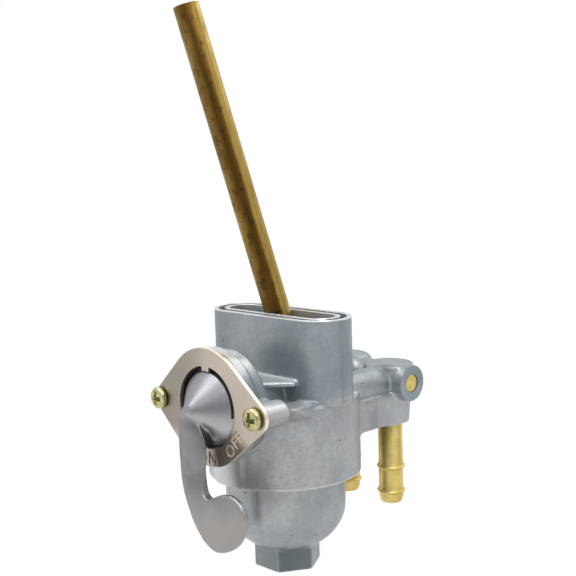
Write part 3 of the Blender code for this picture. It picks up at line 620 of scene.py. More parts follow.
def mesh_object(name: str, bm: bmesh.types.BMesh) -> Object:
    """Put a bmesh into the scene as an object at the origin.

    Args:
        name: The object's name.
        bm: Its geometry, which is freed.

    Returns:
        The object.
    """
    mesh = bpy.data.meshes.new(name)
    bm.to_mesh(mesh)
    bm.free()
    return linked(name, mesh)


def flattened(obj: Object, weld: float = 0.002 * MM) -> Object:
    """Turn an object's modifiers, curve and place into a plain mesh at the origin.

    Args:
        obj: The object, which is replaced.
        weld: Distance below which points become one.

    Returns:
        The plain object, under the same name.
    """
    bpy.context.view_layer.update()
    evaluated = obj.evaluated_get(bpy.context.evaluated_depsgraph_get())
    mesh = bpy.data.meshes.new_from_object(evaluated)
    mesh.transform(obj.matrix_world)
    bm = bmesh.new()
    bm.from_mesh(mesh)
    bmesh.ops.remove_doubles(bm, verts=bm.verts, dist=weld)
    bm.to_mesh(mesh)
    bm.free()
    name = obj.name
    bpy.data.objects.remove(obj, do_unlink=True)
    return linked(name, mesh)


def bevelled(obj: Object, width: float, angle: float) -> Object:
    """Round an object's sharp edges and make it a plain mesh.

    Args:
        obj: The object, which is replaced.
        width: Width of the rounding.
        angle: Edges sharper than this many degrees are rounded.

    Returns:
        The plain object.
    """
    bevel = obj.modifiers.new("edges", "BEVEL")
    bevel.width = width
    bevel.segments = 2
    bevel.limit_method = "ANGLE"
    bevel.angle_limit = math.radians(angle)
    return flattened(obj)


def turned(name: str, profile: Sequence[Flat], steps: int = 128, place: Matrix | None = None) -> Object:
    """Turn a profile about local Z into a closed shape.

    Args:
        name: The object's name.
        profile: Points of (radius, height); radius 0 closes an end, and a profile with none is a ring.
        steps: Divisions of the turn.
        place: Where the shape goes.

    Returns:
        The object.
    """
    bm = bmesh.new()
    rings: list[list[bmesh.types.BMVert]] = []
    for radius, height in profile:
        if radius < 1e-9:
            rings.append([bm.verts.new((0.0, 0.0, height))])
            continue
        angles = (2 * math.pi * k / steps for k in range(steps))
        rings.append([bm.verts.new((radius * math.cos(a), radius * math.sin(a), height)) for a in angles])
    pairs = list(zip(rings, rings[1:]))
    if len(rings[0]) > 1 and len(rings[-1]) > 1:
        pairs.append((rings[-1], rings[0]))
    for low, high in pairs:
        for k in range(steps):
            corners = [low[k % len(low)], low[(k + 1) % len(low)], high[(k + 1) % len(high)], high[k % len(high)]]
            unique = list(dict.fromkeys(corners))
            if len(unique) > 2:
                bm.faces.new(unique)
    bmesh.ops.recalc_face_normals(bm, faces=bm.faces)
    if place is not None:
        bmesh.ops.transform(bm, matrix=place, verts=bm.verts)
    return mesh_object(name, bm)


def drum(name: str, radius: float, low: float, high: float, steps: int, place: Matrix) -> Object:
    """A round bar along local Z between two heights."""
    return turned(name, [(0, low), (radius, low), (radius, high), (0, high)], steps, place)


def rod(name: str, start: Point, end: Point, radius: float, steps: int = 96) -> Object:
    """A round bar between two points.

    Args:
        name: The object's name.
        start: One end's middle.
        end: The other end's middle.
        radius: The radius.
        steps: Divisions of the turn.

    Returns:
        The object.
    """
    first, last = Vector(start), Vector(end)
    turn = Vector((0, 0, 1)).rotation_difference(last - first).to_matrix().to_4x4()
    return drum(name, radius, 0, (last - first).length, steps, Matrix.Translation(first) @ turn)


def block(name: str, low: Point, high: Point) -> Object:
    """A block between two corners.

    Args:
        name: The object's name.
        low: Its lowest corner.
        high: Its highest corner.

    Returns:
        The object.
    """
    bm = bmesh.new()
    bmesh.ops.create_cube(bm, size=1.0)
    bmesh.ops.scale(bm, vec=Vector(high) - Vector(low), verts=bm.verts)
    bmesh.ops.translate(bm, vec=(Vector(high) + Vector(low)) / 2, verts=bm.verts)
    return mesh_object(name, bm)


def wrapped(name: str, points: Sequence[Sequence[float]]) -> Object:
    """The convex solid around a set of points.

    Args:
        name: The object's name.
        points: The points.

    Returns:
        The object.
    """
    bm = bmesh.new()
    for point in points:
        bm.verts.new(point)
    result = bmesh.ops.convex_hull(bm, input=bm.verts)
    loose = {v for v in result["geom_interior"] + result["geom_unused"] if isinstance(v, bmesh.types.BMVert)}
    bmesh.ops.delete(bm, geom=list(loose), context="VERTS")
    bmesh.ops.recalc_face_normals(bm, faces=bm.faces)
    return mesh_object(name, bm)


def arc(cx: float, cy: float, radius: float, start: float, end: float, steps: int) -> list[Flat]:
    """Points on an arc about (cx, cy) between two angles in degrees."""
    angles = [math.radians(start + (end - start) * k / steps) for k in range(steps + 1)]
    return [(cx + radius * math.cos(a), cy + radius * math.sin(a)) for a in angles]


def stadium(length: float, width: float, steps: int = 40) -> list[Flat]:
    """An oval with straight sides along X, so long and wide over all."""
    half = (length - width) / 2
    return arc(half, 0, width / 2, -90, 90, steps) + arc(-half, 0, width / 2, 90, 270, steps)


def eased(outline: Sequence[Flat], step: float = 0.5 * MM, rounds: int = 14) -> list[Flat]:
    """The same outline with its straights and arcs blended into each other.

    Args:
        outline: A closed outline.
        step: Spacing of its new points.
        rounds: How far the blend reaches.

    Returns:
        The blended outline, as wide and long as before.
    """
    points = np.array(evenly(outline, step))
    size = np.ptp(points, axis=0)
    for _ in range(rounds):
        points = 0.5 * points + 0.25 * (np.roll(points, 1, axis=0) + np.roll(points, -1, axis=0))
    points *= size / np.ptp(points, axis=0)
    return [tuple(point) for point in points]


def circle(cx: float, cy: float, radius: float, steps: int = 48) -> list[Flat]:
    """A closed circle of points."""
    return arc(cx, cy, radius, 0, 360, steps)[:-1]


def sheet_metal(
    name: str, outlines: Sequence[Sequence[Flat]], low: float, high: float, place: Matrix | None = None,
    rounding: float = 0.0,
) -> Object:
    """A flat piece with holes between two heights, its edges rounded.

    Args:
        name: The object's name.
        outlines: The edge, then any holes.
        low: Local height of its back.
        high: Local height of its front.
        place: Where its local frame goes, or None for the origin.
        rounding: Radius of its edges.

    Returns:
        The object.
    """
    curve = bpy.data.curves.new(name, "CURVE")
    curve.dimensions = "2D"
    curve.fill_mode = "BOTH"
    curve.extrude = (high - low) / 2 - rounding
    curve.bevel_depth = rounding
    curve.bevel_resolution = 3
    curve.offset = -rounding
    for outline in outlines:
        spline = curve.splines.new("POLY")
        spline.points.add(len(outline) - 1)
        for point, (x, y) in zip(spline.points, outline):
            point.co = (x, y, 0, 1)
        spline.use_cyclic_u = True
    place = place or Matrix.Identity(4)
    return flattened(linked(name, curve, place @ Matrix.Translation((0, 0, (low + high) / 2))))


def facing_front(height: float = 0.0) -> Matrix:
    """Local Z towards -Y and local Y upwards, at a height on the Z axis."""
    return Matrix.Translation((0, 0, height)) @ Matrix.Rotation(math.radians(90), 4, "X")


def fused(name: str, shapes: Sequence[Object], grain: float, rounds: int) -> Object:
    """Melt overlapping shapes into one skin with soft corners, as a mould leaves them.

    Args:
        name: The new object's name.
        shapes: Closed shapes, which are removed.
        grain: Edge length of the skin's faces.
        rounds: How many times its corners are softened.

    Returns:
        The skin.
    """
    obj = merged(name, shapes)
    remesh = obj.modifiers.new("skin", "REMESH")
    remesh.mode = "VOXEL"
    remesh.voxel_size = grain
    obj = flattened(obj)
    soften(obj.data, rounds)
    return obj


def gathered(items: Any, field: str, width: int, kind: type = np.float64) -> np.ndarray:
    """Read one field of all items of a mesh.

    Args:
        items: Its points, edges or kept numbers.
        field: The field's name.
        width: Numbers in the field of one item.
        kind: The type of the numbers.

    Returns:
        One row for each item.
    """
    values = np.empty(len(items) * width, kind)
    items.foreach_get(field, values)
    return values.reshape(-1, width)


def places(mesh: Mesh) -> np.ndarray:
    """The places of a mesh's points, in rows."""
    return gathered(mesh.vertices, "co", 3)


def bearing(x: np.ndarray, y: np.ndarray) -> np.ndarray:
    """Directions in degrees."""
    return np.degrees(np.arctan2(y, x))


def linked_points(mesh: Mesh) -> tuple[np.ndarray, np.ndarray, np.ndarray]:
    """A mesh's points, its edges and how many edges meet at each point.

    Args:
        mesh: The mesh.

    Returns:
        Points, edges and counts.
    """
    edges = gathered(mesh.edges, "vertices", 2, np.int32)
    counts = np.maximum(np.bincount(edges.ravel(), minlength=len(mesh.vertices)), 1)
    return places(mesh), edges, counts


def vertex_normals(mesh: Mesh) -> np.ndarray:
    """The outward direction at each point of a mesh, in rows."""
    return gathered(mesh.vertices, "normal", 3)


def neighbour_mean(values: np.ndarray, edges: np.ndarray, counts: np.ndarray) -> np.ndarray:
    """The mean of each point's neighbours.

    Args:
        values: One row for each point.
        edges: Pairs of points.
        counts: Edges at each point.

    Returns:
        The means.
    """
    total = np.empty_like(values)
    size = len(values)
    for k in range(values.shape[1]):
        column = values[:, k]
        total[:, k] = np.bincount(edges[:, 0], column[edges[:, 1]], size)
        total[:, k] += np.bincount(edges[:, 1], column[edges[:, 0]], size)
    return total / counts[:, None]


def moved(mesh: Mesh, points: np.ndarray) -> None:
    """Give a mesh's points new places."""
    mesh.vertices.foreach_set("co", points.ravel())
    mesh.update()


def soften(mesh: Mesh, rounds: int) -> None:
    """Round a mesh's corners by moving points half-way to their neighbours.

    Args:
        mesh: The mesh.
        rounds: Number of passes.
    """
    points, edges, counts = linked_points(mesh)
    for _ in range(rounds):
        points += 0.5 * (neighbour_mean(points, edges, counts) - points)
    moved(mesh, points)


def rippled(mesh: Mesh, depth: float, scale: float, seed: float) -> None:
    """Give a skin the faint unevenness of a casting.

    Args:
        mesh: The mesh.
        depth: Height of the ripples.
        scale: Ripples in a metre.
        seed: Offset of the pattern.
    """
    points = places(mesh)
    heights = [noise.noise(Vector(point) * scale + Vector((seed, seed, seed))) for point in points]
    moved(mesh, points + vertex_normals(mesh) * np.array(heights)[:, None] * depth)


def boolean(obj: Object, operands: Sequence[Object], kind: Cut = Cut.AWAY) -> Object:
    """Cut closed operands out of an object, or keep what they share.

    Args:
        obj: The object, which is replaced.
        operands: The operands, which are removed.
        kind: What is done.

    Returns:
        The plain result.
    """
    for operand in operands:
        mod = obj.modifiers.new(operand.name, "BOOLEAN")
        mod.operation = kind.value
        mod.solver = "MANIFOLD"
        mod.object = operand
    result = flattened(obj, 0.0005 * MM)
    for operand in operands:
        bpy.data.objects.remove(operand, do_unlink=True)
    return result


def gridded(obj: Object, step: float, half: Flat, height: float) -> Object:
    """Give the flat faces of a front-facing piece points on an even grid.

    Args:
        obj: The piece.
        step: The grid's spacing.
        half: Half its width and height.
        height: The height of its middle.

    Returns:
        The piece.
    """
    bm = bmesh.new()
    bm.from_mesh(obj.data)
    for axis, reach, middle in ((0, half[0], 0.0), (2, half[1], height)):
        normal = Vector((1, 0, 0)) if axis == 0 else Vector((0, 0, 1))
        for at in np.arange(-reach + step / 2, reach, step):
            geom = [*bm.verts, *bm.edges, *bm.faces]
            bmesh.ops.bisect_plane(bm, geom=geom, dist=1e-7, plane_co=normal * (middle + at), plane_no=normal)
    bm.to_mesh(obj.data)
    bm.free()
    return obj


def mark_edges(mesh: Mesh, reach: float) -> None:
    """Keep in the mesh how much each point stands out, as edge wear, or lies in a corner, which is darkened.

    Args:
        mesh: The mesh.
        reach: Curvature radius in metres that counts fully.
    """
    points, edges, counts = linked_points(mesh)
    normals = vertex_normals(mesh)
    first, second = edges[:, 0], edges[:, 1]
    along = points[second] - points[first]
    length = np.maximum(np.linalg.norm(along, axis=1), 1e-7)
    size = len(points)
    bend = np.bincount(first, np.einsum("ij,ij->i", along, normals[first]) / length**2, size)
    bend += np.bincount(second, -np.einsum("ij,ij->i", along, normals[second]) / length**2, size)
    bend = spread(np.clip(-2.0 * bend / counts * reach, -1.0, 1.0), edges, counts, 2)
    keep(mesh, "wear", unit(bend * 1.6 - 0.25))
    keep(mesh, "grime", unit(-bend * 1.6 - 0.2))


def spread(values: np.ndarray, edges: np.ndarray, counts: np.ndarray, rounds: int) -> np.ndarray:
    """Blur one number for each point over its neighbours.

    Args:
        values: The numbers.
        edges: Pairs of points.
        counts: Edges at each point.
        rounds: Number of passes.

    Returns:
        The blurred numbers.
    """
    column = values[:, None]
    for _ in range(rounds):
        column = 0.5 * column + 0.5 * neighbour_mean(column, edges, counts)
    return column[:, 0]


def unit(values: np.ndarray) -> np.ndarray:
    """The values, kept between 0 and 1."""
    return np.clip(values, 0, 1)


def bell(*offsets: np.ndarray) -> np.ndarray:
    """1 where all offsets are 0, falling smoothly with each."""
    return np.exp(-sum(offset**2 for offset in offsets))


def slope(values: np.ndarray, start: float, end: float) -> np.ndarray:
    """0 at the start, 1 at the end and even between, where the end may also be the lower one."""
    return unit((values - start) / (end - start))


def kept(mesh: Mesh, name: str) -> np.ndarray:
    """The numbers that a mesh keeps for its points under a name."""
    return gathered(mesh.attributes[name].data, "value", 1, np.float32)[:, 0]


def stadium_depth(x: np.ndarray, y: np.ndarray, length: float, width: float) -> np.ndarray:
    """How far points lie inside a straight-sided oval along X, negative outside."""
    along = np.maximum(np.abs(x) - (length - width) / 2, 0.0)
    return width / 2 - np.hypot(along, y)


def merged(name: str, pieces: Sequence[Object]) -> Object:
    """Put several pieces into one object.

    Args:
        name: The new object's name.
        pieces: The pieces, which are removed.

    Returns:
        The object.
    """
    bm = bmesh.new()
    for piece in pieces:
        bm.from_mesh(piece.data)
        bpy.data.objects.remove(piece, do_unlink=True)
    return mesh_object(name, bm)


def burr(name: str, outline: Sequence[Flat], height: float, size: float, seed: int) -> Object:
    """A fine uneven bead along a closed level outline.

    Args:
        name: The object's name.
        outline: Its middle line.
        height: Its height.
        size: Its usual radius.
        seed: Choice of the unevenness.

    Returns:
        The bead.
    """
    loop = evenly(outline, 0.45 * MM)
    bm = bmesh.new()
    rings = []
    for k, (x, y) in enumerate(loop):
        after, before = loop[(k + 1) % len(loop)], loop[k - 1]
        side = Vector((after[1] - before[1], before[0] - after[0], 0)).normalized()
        at = Vector((x, y, height))
        fine, coarse = noise.noise(at * 900 + Vector((seed, 0, 0))), noise.noise(at * 260)
        thick = size * (0.45 + 0.85 * abs(fine) + 0.25 * abs(coarse))
        at += side * size * 0.5 * noise.noise(at * 700)
        rings.append([
            bm.verts.new(at + side * thick * math.cos(a) + Vector((0, 0, thick * math.sin(a))))
            for a in np.linspace(0, 2 * math.pi, 7)[:-1]
        ])
    for low, high in zip(rings, rings[1:] + rings[:1]):
        for k in range(6):
            bm.faces.new((low[k], low[(k + 1) % 6], high[(k + 1) % 6], high[k]))
    bmesh.ops.recalc_face_normals(bm, faces=bm.faces)
    return mesh_object(name, bm)


def evenly(outline: Sequence[Flat], step: float) -> list[Flat]:
    """Even points along a closed outline.

    Args:
        outline: The outline.
        step: About their distance.

    Returns:
        The points.
    """
    corners = np.array([*outline, outline[0]])
    run = np.concatenate([[0.0], np.cumsum(np.hypot(*np.diff(corners, axis=0).T))])
    at = np.linspace(0.0, run[-1], max(int(run[-1] / step), 8), endpoint=False)
    return list(zip(np.interp(at, run, corners[:, 0]), np.interp(at, run, corners[:, 1])))


def keep(mesh: Mesh, name: str, values: np.ndarray) -> None:
    """Store one number for each point of a mesh, under a name."""
    attribute = mesh.attributes.get(name) or mesh.attributes.new(name, "FLOAT", "POINT")
    attribute.data.foreach_set("value", values.astype(np.float32))


def raise_to(mesh: Mesh, name: str, *values: np.ndarray) -> None:
    """Raise the numbers that a mesh keeps to at least each of these."""
    keep(mesh, name, np.maximum.reduce([kept(mesh, name), *values]))


def fit_out(
    obj: Object, material: Material, body: Body, slot: Slot, *nodes: str, crisp: float = 32.0,
) -> Object:
    """Give a piece its material and smooth faces, fix it to its body, and hide the frame nodes that it replaces.

    Args:
        obj: The piece.
        material: Its material.
        body: What it moves with.
        slot: Its slot in the record; not used.
        *nodes: The frame's nodes that it replaces.
        crisp: Edges sharper than this many degrees stay crisp.

    Returns:
        The piece.
    """
    obj.data.materials.clear()
    obj.data.materials.append(material)
    obj.data.shade_smooth()
    obj.data.set_sharp_from_angle(angle=math.radians(crisp))
    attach(obj, body.value)
    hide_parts(*nodes)
    LOG.info("%s: %d faces on %s", obj.name, len(obj.data.polygons), body.value)
    return obj


# ---- geometry node trees


class GeometryTree(Graph):
    """A Geometry Nodes tree with named inputs."""

    def __init__(self, name: str) -> None:
        """Make an empty tree.

        Args:
            name: The tree's name.
        """
        super().__init__(bpy.data.node_groups.new(name, "GeometryNodeTree"))
        self.inlet = self.tree.nodes.new("NodeGroupInput")
        self.outlet = self.tree.nodes.new("NodeGroupOutput")
        self.tree.interface.new_socket("Geometry", in_out="OUTPUT", socket_type="NodeSocketGeometry")
        self.own = self.entry("Geometry", "NodeSocketGeometry")

    def entry(self, name: str, kind: str) -> Wire:
        """Add a named input of a socket type, and give its wire inside the tree."""
        self.tree.interface.new_socket(name, in_out="INPUT", socket_type=kind)
        return Wire(self, self.inlet.outputs[name])

    def close(self, geometry: Wire) -> None:
        """Realize instances, set the material and end the tree.

        Args:
            geometry: The tree's result.
        """
        finish = self.entry("Finish", "NodeSocketMaterial")
        real = self.node("GeometryNodeRealizeInstances", None, {"Geometry": geometry})
        dressed = self.node("GeometryNodeSetMaterial", None, {"Geometry": real, "Material": finish})
        self.feed(self.outlet.inputs[0], dressed)

    def run(self, obj: Object, values: dict[str, Any]) -> Object:
        """Run the tree on an object and keep the plain result.

        Args:
            obj: The object, which is replaced.
            values: The tree's inputs by name.

        Returns:
            The plain object.
        """
        modifier = obj.modifiers.new(self.tree.name, "NODES")
        modifier.node_group = self.tree
        for item in self.tree.interface.items_tree:
            if item.item_type == "SOCKET" and item.in_out == "INPUT" and item.name in values:
                modifier[item.identifier] = values[item.name]
        return flattened(obj)


def row_tree() -> GeometryTree:
    """A tree that repeats a pattern piece along a line of points.

    Returns:
        The tree, with inputs Piece, Count, Start and Step.
    """
    tree = GeometryTree("row_of_pieces")
    piece = tree.entry("Piece", "NodeSocketObject")
    count = tree.entry("Count", "NodeSocketInt")
    start = tree.entry("Start", "NodeSocketVector")
    step = tree.entry("Step", "NodeSocketVector")
    line = tree.node("GeometryNodeMeshLine", None, {"Count": count, "Start Location": start, "Offset": step})
    source = tree.node("GeometryNodeObjectInfo", None, {"Object": piece}, out="Geometry")
    tree.close(tree.node("GeometryNodeInstanceOnPoints", None, {"Points": line, "Instance": source}))
    return tree


def tube_tree() -> GeometryTree:
    """A tree that sweeps a round section along the object's own curve.

    Returns:
        The tree, with inputs Radius and Sides.
    """
    tree = GeometryTree("swept_tube")
    radius = tree.entry("Radius", "NodeSocketFloat")
    sides = tree.entry("Sides", "NodeSocketInt")
    section = tree.node("GeometryNodeCurvePrimitiveCircle", None, {"Radius": radius, "Resolution": sides})
    tree.close(tree.node("GeometryNodeCurveToMesh", None, {"Curve": tree.own, "Profile Curve": section}))
    return tree


def pair(name: str, pattern: Object, start: Point, step: Point) -> Object:
    """Two copies of a pattern piece.

    Args:
        name: The new object's name.
        pattern: The piece, which is removed.
        start: Where the first copy goes.
        step: From there to the second.

    Returns:
        Both copies in one object.
    """
    values = {"Piece": pattern, "Count": 2, "Start": start, "Step": step, "Finish": None}
    copies = row_tree().run(mesh_object(name, bmesh.new()), values)
    bpy.data.objects.remove(pattern, do_unlink=True)
    return copies


# ---- the tap's pieces


@dataclass
class CastBody(TapPiece):
    """The die-cast body: soft cast skin, then machined faces, pockets and bores."""

    grain: float = 0.33 * MM
    softening: int = 5
    bottom_z: float = 22.9 * MM
    shoulder_z: float = 41.3 * MM
    shoulder_rise: float = 0.8 * MM
    top_z: float = 60.5 * MM
    radius: float = 18.1 * MM
    rib_width: float = 10.4 * MM
    rib_proud: float = 0.7 * MM
    rib_top_z: float = 36.0 * MM
    neck_length: float = 40.0 * MM
    neck_width: float = 14.6 * MM
    lip: float = 1.0 * MM
    groove: float = 1.65 * MM
    groove_depth: float = 2.4 * MM
    ring: float = 1.0 * MM
    pocket_depth: float = 10.5 * MM
    pipe_socket_r: float = 3.35 * MM
    pipe_socket_depth: float = 3.4 * MM
    face_y: float = -22.6 * MM
    boss_r: float = 13.2 * MM
    boss_step: float = 2.9 * MM
    boss_back_r: float = 12.1 * MM
    boss_back_depth: float = 6.6 * MM
    link_r: float = 8.6 * MM
    chamber_r: float = 10.8 * MM
    chamber_depth: float = 5.6 * MM
    screw_hole_r: float = 1.5 * MM
    screw_boss_r: float = 2.9 * MM
    screw_boss_length: float = 6.95 * MM
    screw_tie_half: float = 2.3 * MM
    web_top_z: float = 46.85 * MM
    web_thick: float = 1.1 * MM
    web_boss_half: float = 5.2 * MM
    web_neck_half: float = 11.5 * MM
    gusset_top_z: float = 42.3 * MM
    gusset_half: float = 17.3 * MM
    gusset_end_y: float = -13.4 * MM
    outlet_tops: Flat = (45.4 * MM, 46.1 * MM)
    arm_r: float = 4.1 * MM
    arm_half: float = 4.5 * MM
    arm_web_top_z: float = 38.9 * MM
    arm_web_end_y: float = 20.7 * MM
    outlet_bottom_z: float = 30.8 * MM
    outlet_bottom_r: float = 4.7 * MM
    outlet_top_rs: Flat = (6.0 * MM, 6.9 * MM)
    outlet_rounds: Flat = (0.5 * MM, 2.4 * MM)
    link_drop: float = 0.15 * MM
    barb_socket_r: float = 3.1 * MM
    plug_seat_r: float = 2.2 * MM
    plug_boss_r: float = 4.4 * MM
    plug_depth: float = 3.5 * MM
    plug_face_y: float = 21.0 * MM
    bowl_recess_r: float = 13.2 * MM
    bowl_recess_top_z: float = 31.5 * MM
    bottom_face_end_y: float = 22.3 * MM
    reserve_port_x: float = 6.1 * MM
    reserve_port_r: float = 1.3 * MM
    reserve_port_depth: float = 3.0 * MM
    screw_hole_depth: float = 8.0 * MM
    barb_socket_depth: float = 5.5 * MM
    arms_start_y: float = 10.0 * MM
    # A painted pool of light low on the body's left: its direction, spread and top.
    lit_patch_angle: float = -98.0
    lit_patch_spread: float = 20.0
    lit_patch_zs: Flat = (33.0 * MM, 30.0 * MM)
    # Middle and size of the painted bluish reflection on the neck's wall.
    reflection_at: Flat = (7.2 * MM, 49.6 * MM)
    reflection_size: Flat = (7.0 * MM, 5.6 * MM)
    # Middle and size of the painted dark reflection in the crease by the near arm.
    crease_at: Flat = (21.2 * MM, 41.0 * MM)
    crease_size: Flat = (2.0 * MM, 1.5 * MM)
    # Middle and reach of the painted shadow in the notch by the near boss.
    notch_at: Point = (12.7 * MM, 22.5 * MM, 44.5 * MM)
    notch_size: float = 1.9 * MM

    def cast_shapes(self) -> list[Object]:
        """The closed shapes that the casting is melted from.

        Returns:
            The shapes.
        """
        front = facing_front(self.valve_z)
        neck_wall = self.neck_width / 2 - self.lip
        mid = -self.face_y - self.boss_step
        back = -self.face_y - self.boss_back_depth
        shapes = [
            turned("round", [
                (0, self.bottom_z - SPARE), (self.radius, self.bottom_z - SPARE),
                (self.radius, self.shoulder_z - 0.4 * MM), (self.radius - 0.4 * MM, self.shoulder_z),
                (self.neck_width / 2, self.shoulder_z + self.shoulder_rise), (0, self.shoulder_z + self.shoulder_rise),
            ], 160),
            sheet_metal("neck", [eased(self._oval(0.0))], self.shoulder_z - 0.2 * MM, self.top_z + SPARE),
            drum("boss_front", self.boss_r, mid, -self.face_y + SPARE, 128, front),
            drum("boss_back", self.boss_back_r, back, mid + SPARE, 128, front),
            self._link(neck_wall, back + SPARE, front),
            self._web(neck_wall, back),
            self._front_rib(),
        ]
        for side in SIDES:
            shapes += [*self._screw_boss(side), self._gusset(side)]
        for x, top, top_r, rounding in zip(self.outlet_xs, self.outlet_tops, self.outlet_top_rs, self.outlet_rounds):
            shapes += self._outlet(x, top, top_r, rounding)
        shapes.append(rod(
            "plug_boss", (self.outlet_xs[1], self.outlet_y, self.passage_z),
            (self.plug_x + SPARE, self.outlet_y, self.passage_z), self.plug_boss_r,
        ))
        return shapes

    def _link(self, near: float, far: float, front: Matrix) -> Object:
        """The round link between neck and valve boss, flat on top under the web.

        Args:
            near: Where it starts, inside the neck.
            far: Where it ends, inside the valve boss.
            front: The valve's local frame.

        Returns:
            The link.
        """
        link = drum("link", self.link_r, near, far, 96, front)
        top = self.web_top_z - self.link_drop
        reach = 2 * self.link_r
        return boolean(link, [block("link_flat", (-reach, -2 * far, top), (reach, far, top + reach))])

    def _web(self, neck_wall: float, back: float) -> Object:
        """The thin shelf between the valve boss and the neck.

        Args:
            neck_wall: How far the neck's wall stands in front of the middle.
            back: How far the valve boss's back does.

        Returns:
            The shelf.
        """
        swell = self.web_neck_half + 1.4 * MM
        corners = [(side * half, y) for side in SIDES for half, y in (
            (self.web_neck_half, -neck_wall), (swell, -neck_wall - 2.2 * MM), (self.web_boss_half, -back - MM),
        )]
        heights = (self.web_top_z - self.web_thick, self.web_top_z)
        return wrapped("web", [(x, y, z) for x, y in corners for z in heights])

    def _gusset(self, side: int) -> Object:
        """The flat gusset from a screw boss back to the neck's round end.

        Args:
            side: -1 for the left, 1 for the right.

        Returns:
            The gusset.
        """
        half, end = self.gusset_half, self.gusset_end_y
        back = end - 1.8 * MM
        flat = [(12 * MM, -6.5 * MM), (half, -5 * MM), (half, end), (half - 2.8 * MM, back), (10 * MM, back)]
        foot = [(12 * MM, -6.5 * MM), (17 * MM, -5 * MM), (15 * MM, -9.5 * MM), (11 * MM, -14 * MM)]
        levels = ((flat, self.gusset_top_z), (foot, self.gusset_top_z - 4.5 * MM))
        return wrapped(f"gusset_{side}", [(side * x, y, z) for corners, z in levels for x, y in corners])

    def _front_rib(self) -> Object:
        """The raised rib down the front of the round body.

        Returns:
            The rib.
        """
        half = math.degrees(math.asin(self.rib_width / 2 / self.radius))
        outer = self.radius + self.rib_proud
        points = []
        steps = ((self.radius - MM, self.rib_top_z, 1.12), (outer, self.rib_top_z - self.rib_proud, 0.8))
        for radius, top, share in steps:
            for x, y in arc(0, 0, radius, -90 - half, -90 + half, 16):
                points += [(x * share, y, self.bottom_z - SPARE), (x * share, y, top)]
        return wrapped("front_rib", points)

    def _screw_boss(self, side: int) -> list[Object]:
        """A plate screw's boss and its tie to the valve boss.

        Args:
            side: -1 for the left, 1 for the right.

        Returns:
            Both shapes.
        """
        x = side * self.screw_x
        end = -self.face_y - self.screw_boss_length
        r = self.screw_boss_r
        place = Matrix.Translation((x, 0, 0)) @ facing_front(self.valve_z)
        boss = turned(f"screw_boss_{side}", [
            (0, end), (r - 0.9 * MM, end), (r - 0.3 * MM, end + 0.3 * MM), (r, end + 0.9 * MM),
            (r, -self.face_y + SPARE), (0, -self.face_y + SPARE),
        ], 72, place)
        inner, outer = sorted((side * (self.boss_back_r - r), x))
        half = self.screw_tie_half
        tie = block(
            f"screw_tie_{side}", (inner, self.face_y + 0.35 * MM, self.valve_z - half),
            (outer, self.face_y + self.boss_back_depth, self.valve_z + half),
        )
        return [boss, tie]

    def _outlet(self, x: float, top: float, top_r: float, rounding: float) -> list[Object]:
        """One outlet's arm, web, foot and upright boss.

        Args:
            x: The outlet's place.
            top: Height of its boss.
            top_r: Radius of the boss's top.
            rounding: Radius of the top's edge.

        Returns:
            The shapes.
        """
        middle, end = self.outlet_y, self.arm_web_end_y
        low, high = self.outlet_bottom_z + 0.35 * MM, self.arm_web_top_z
        arm = rod("arm", (x, self.neck_width / 4, self.passage_z), (x, middle, self.passage_z), self.arm_r)
        half = self.arm_half
        web = block("arm_web", (x - half, self.radius / 2, low), (x + half, end + 0.35 * MM, high))
        points = [(x + side * half, end, z) for side in SIDES for z in (low, high)]
        for z in (self.outlet_bottom_z - SPARE, high):
            points += [(px, py, z) for px, py in circle(x, middle, self.outlet_bottom_r)]
        boss = turned("outlet_boss", [
            (0, self.outlet_bottom_z), (self.outlet_bottom_r, self.outlet_bottom_z),
            *arc(top_r - rounding, top - rounding, rounding, 0, 90, 8), (0, top),
        ], 96, Matrix.Translation((x, middle, 0)))
        return [arm, web, wrapped("foot", points), boss]

    def machining(self) -> list[Object]:
        """The faces, pockets and bores that are cut into the cast skin.

        Returns:
            The cutters.
        """
        far = 60 * MM
        x, y = self.pipe_spot
        floor_z = self.top_z - self.pocket_depth
        port_x = x + self.reserve_port_x
        outlet_y, bottom_z = self.outlet_y, self.outlet_bottom_z
        cutters = [
            block("top_face", (-far, -far, self.top_z), (far, far, self.top_z + far)),
            block("valve_face", (-far, self.face_y - far, 0), (far, self.face_y, far)),
            block("bottom_face", (-far, -far, self.bottom_z - far), (far, self.bottom_face_end_y, self.bottom_z)),
            block("outlet_face", (-far, self.bottom_face_end_y, 0), (far, far, bottom_z)),
            block("plug_face", (self.plug_x, self.plug_face_y, 0), (far, far, far)),
            sheet_metal(
                "gasket_groove", [self._oval(self.lip), self._oval(self.lip + self.groove)],
                self.top_z - self.groove_depth, self.top_z + MM,
            ),
            sheet_metal("pocket", [self._oval(self.lip + self.groove + self.ring)], floor_z, self.top_z + MM),
            rod("pipe_socket", (x, y, floor_z - self.pipe_socket_depth), (x, y, floor_z + MM), self.pipe_socket_r),
            rod(
                "reserve_port", (port_x, y, floor_z - self.reserve_port_depth), (port_x, y, floor_z + MM),
                self.reserve_port_r,
            ),
            drum(
                "chamber", self.chamber_r, -self.face_y - self.chamber_depth, -self.face_y + MM, 128,
                facing_front(self.valve_z),
            ),
            rod("bowl_recess", (0, 0, self.bottom_z - MM), (0, 0, self.bowl_recess_top_z), self.bowl_recess_r, 128),
            rod(
                "plug_seat", (self.plug_x - self.plug_depth, outlet_y, self.passage_z),
                (self.plug_x + MM, outlet_y, self.passage_z), self.plug_seat_r,
            ),
        ]
        for at in (-self.screw_x, self.screw_x):
            mouth, end = (at, self.face_y - MM, self.valve_z), (at, self.face_y + self.screw_hole_depth, self.valve_z)
            cutters.append(rod("tapping", mouth, end, self.screw_hole_r))
        for at in self.outlet_xs:
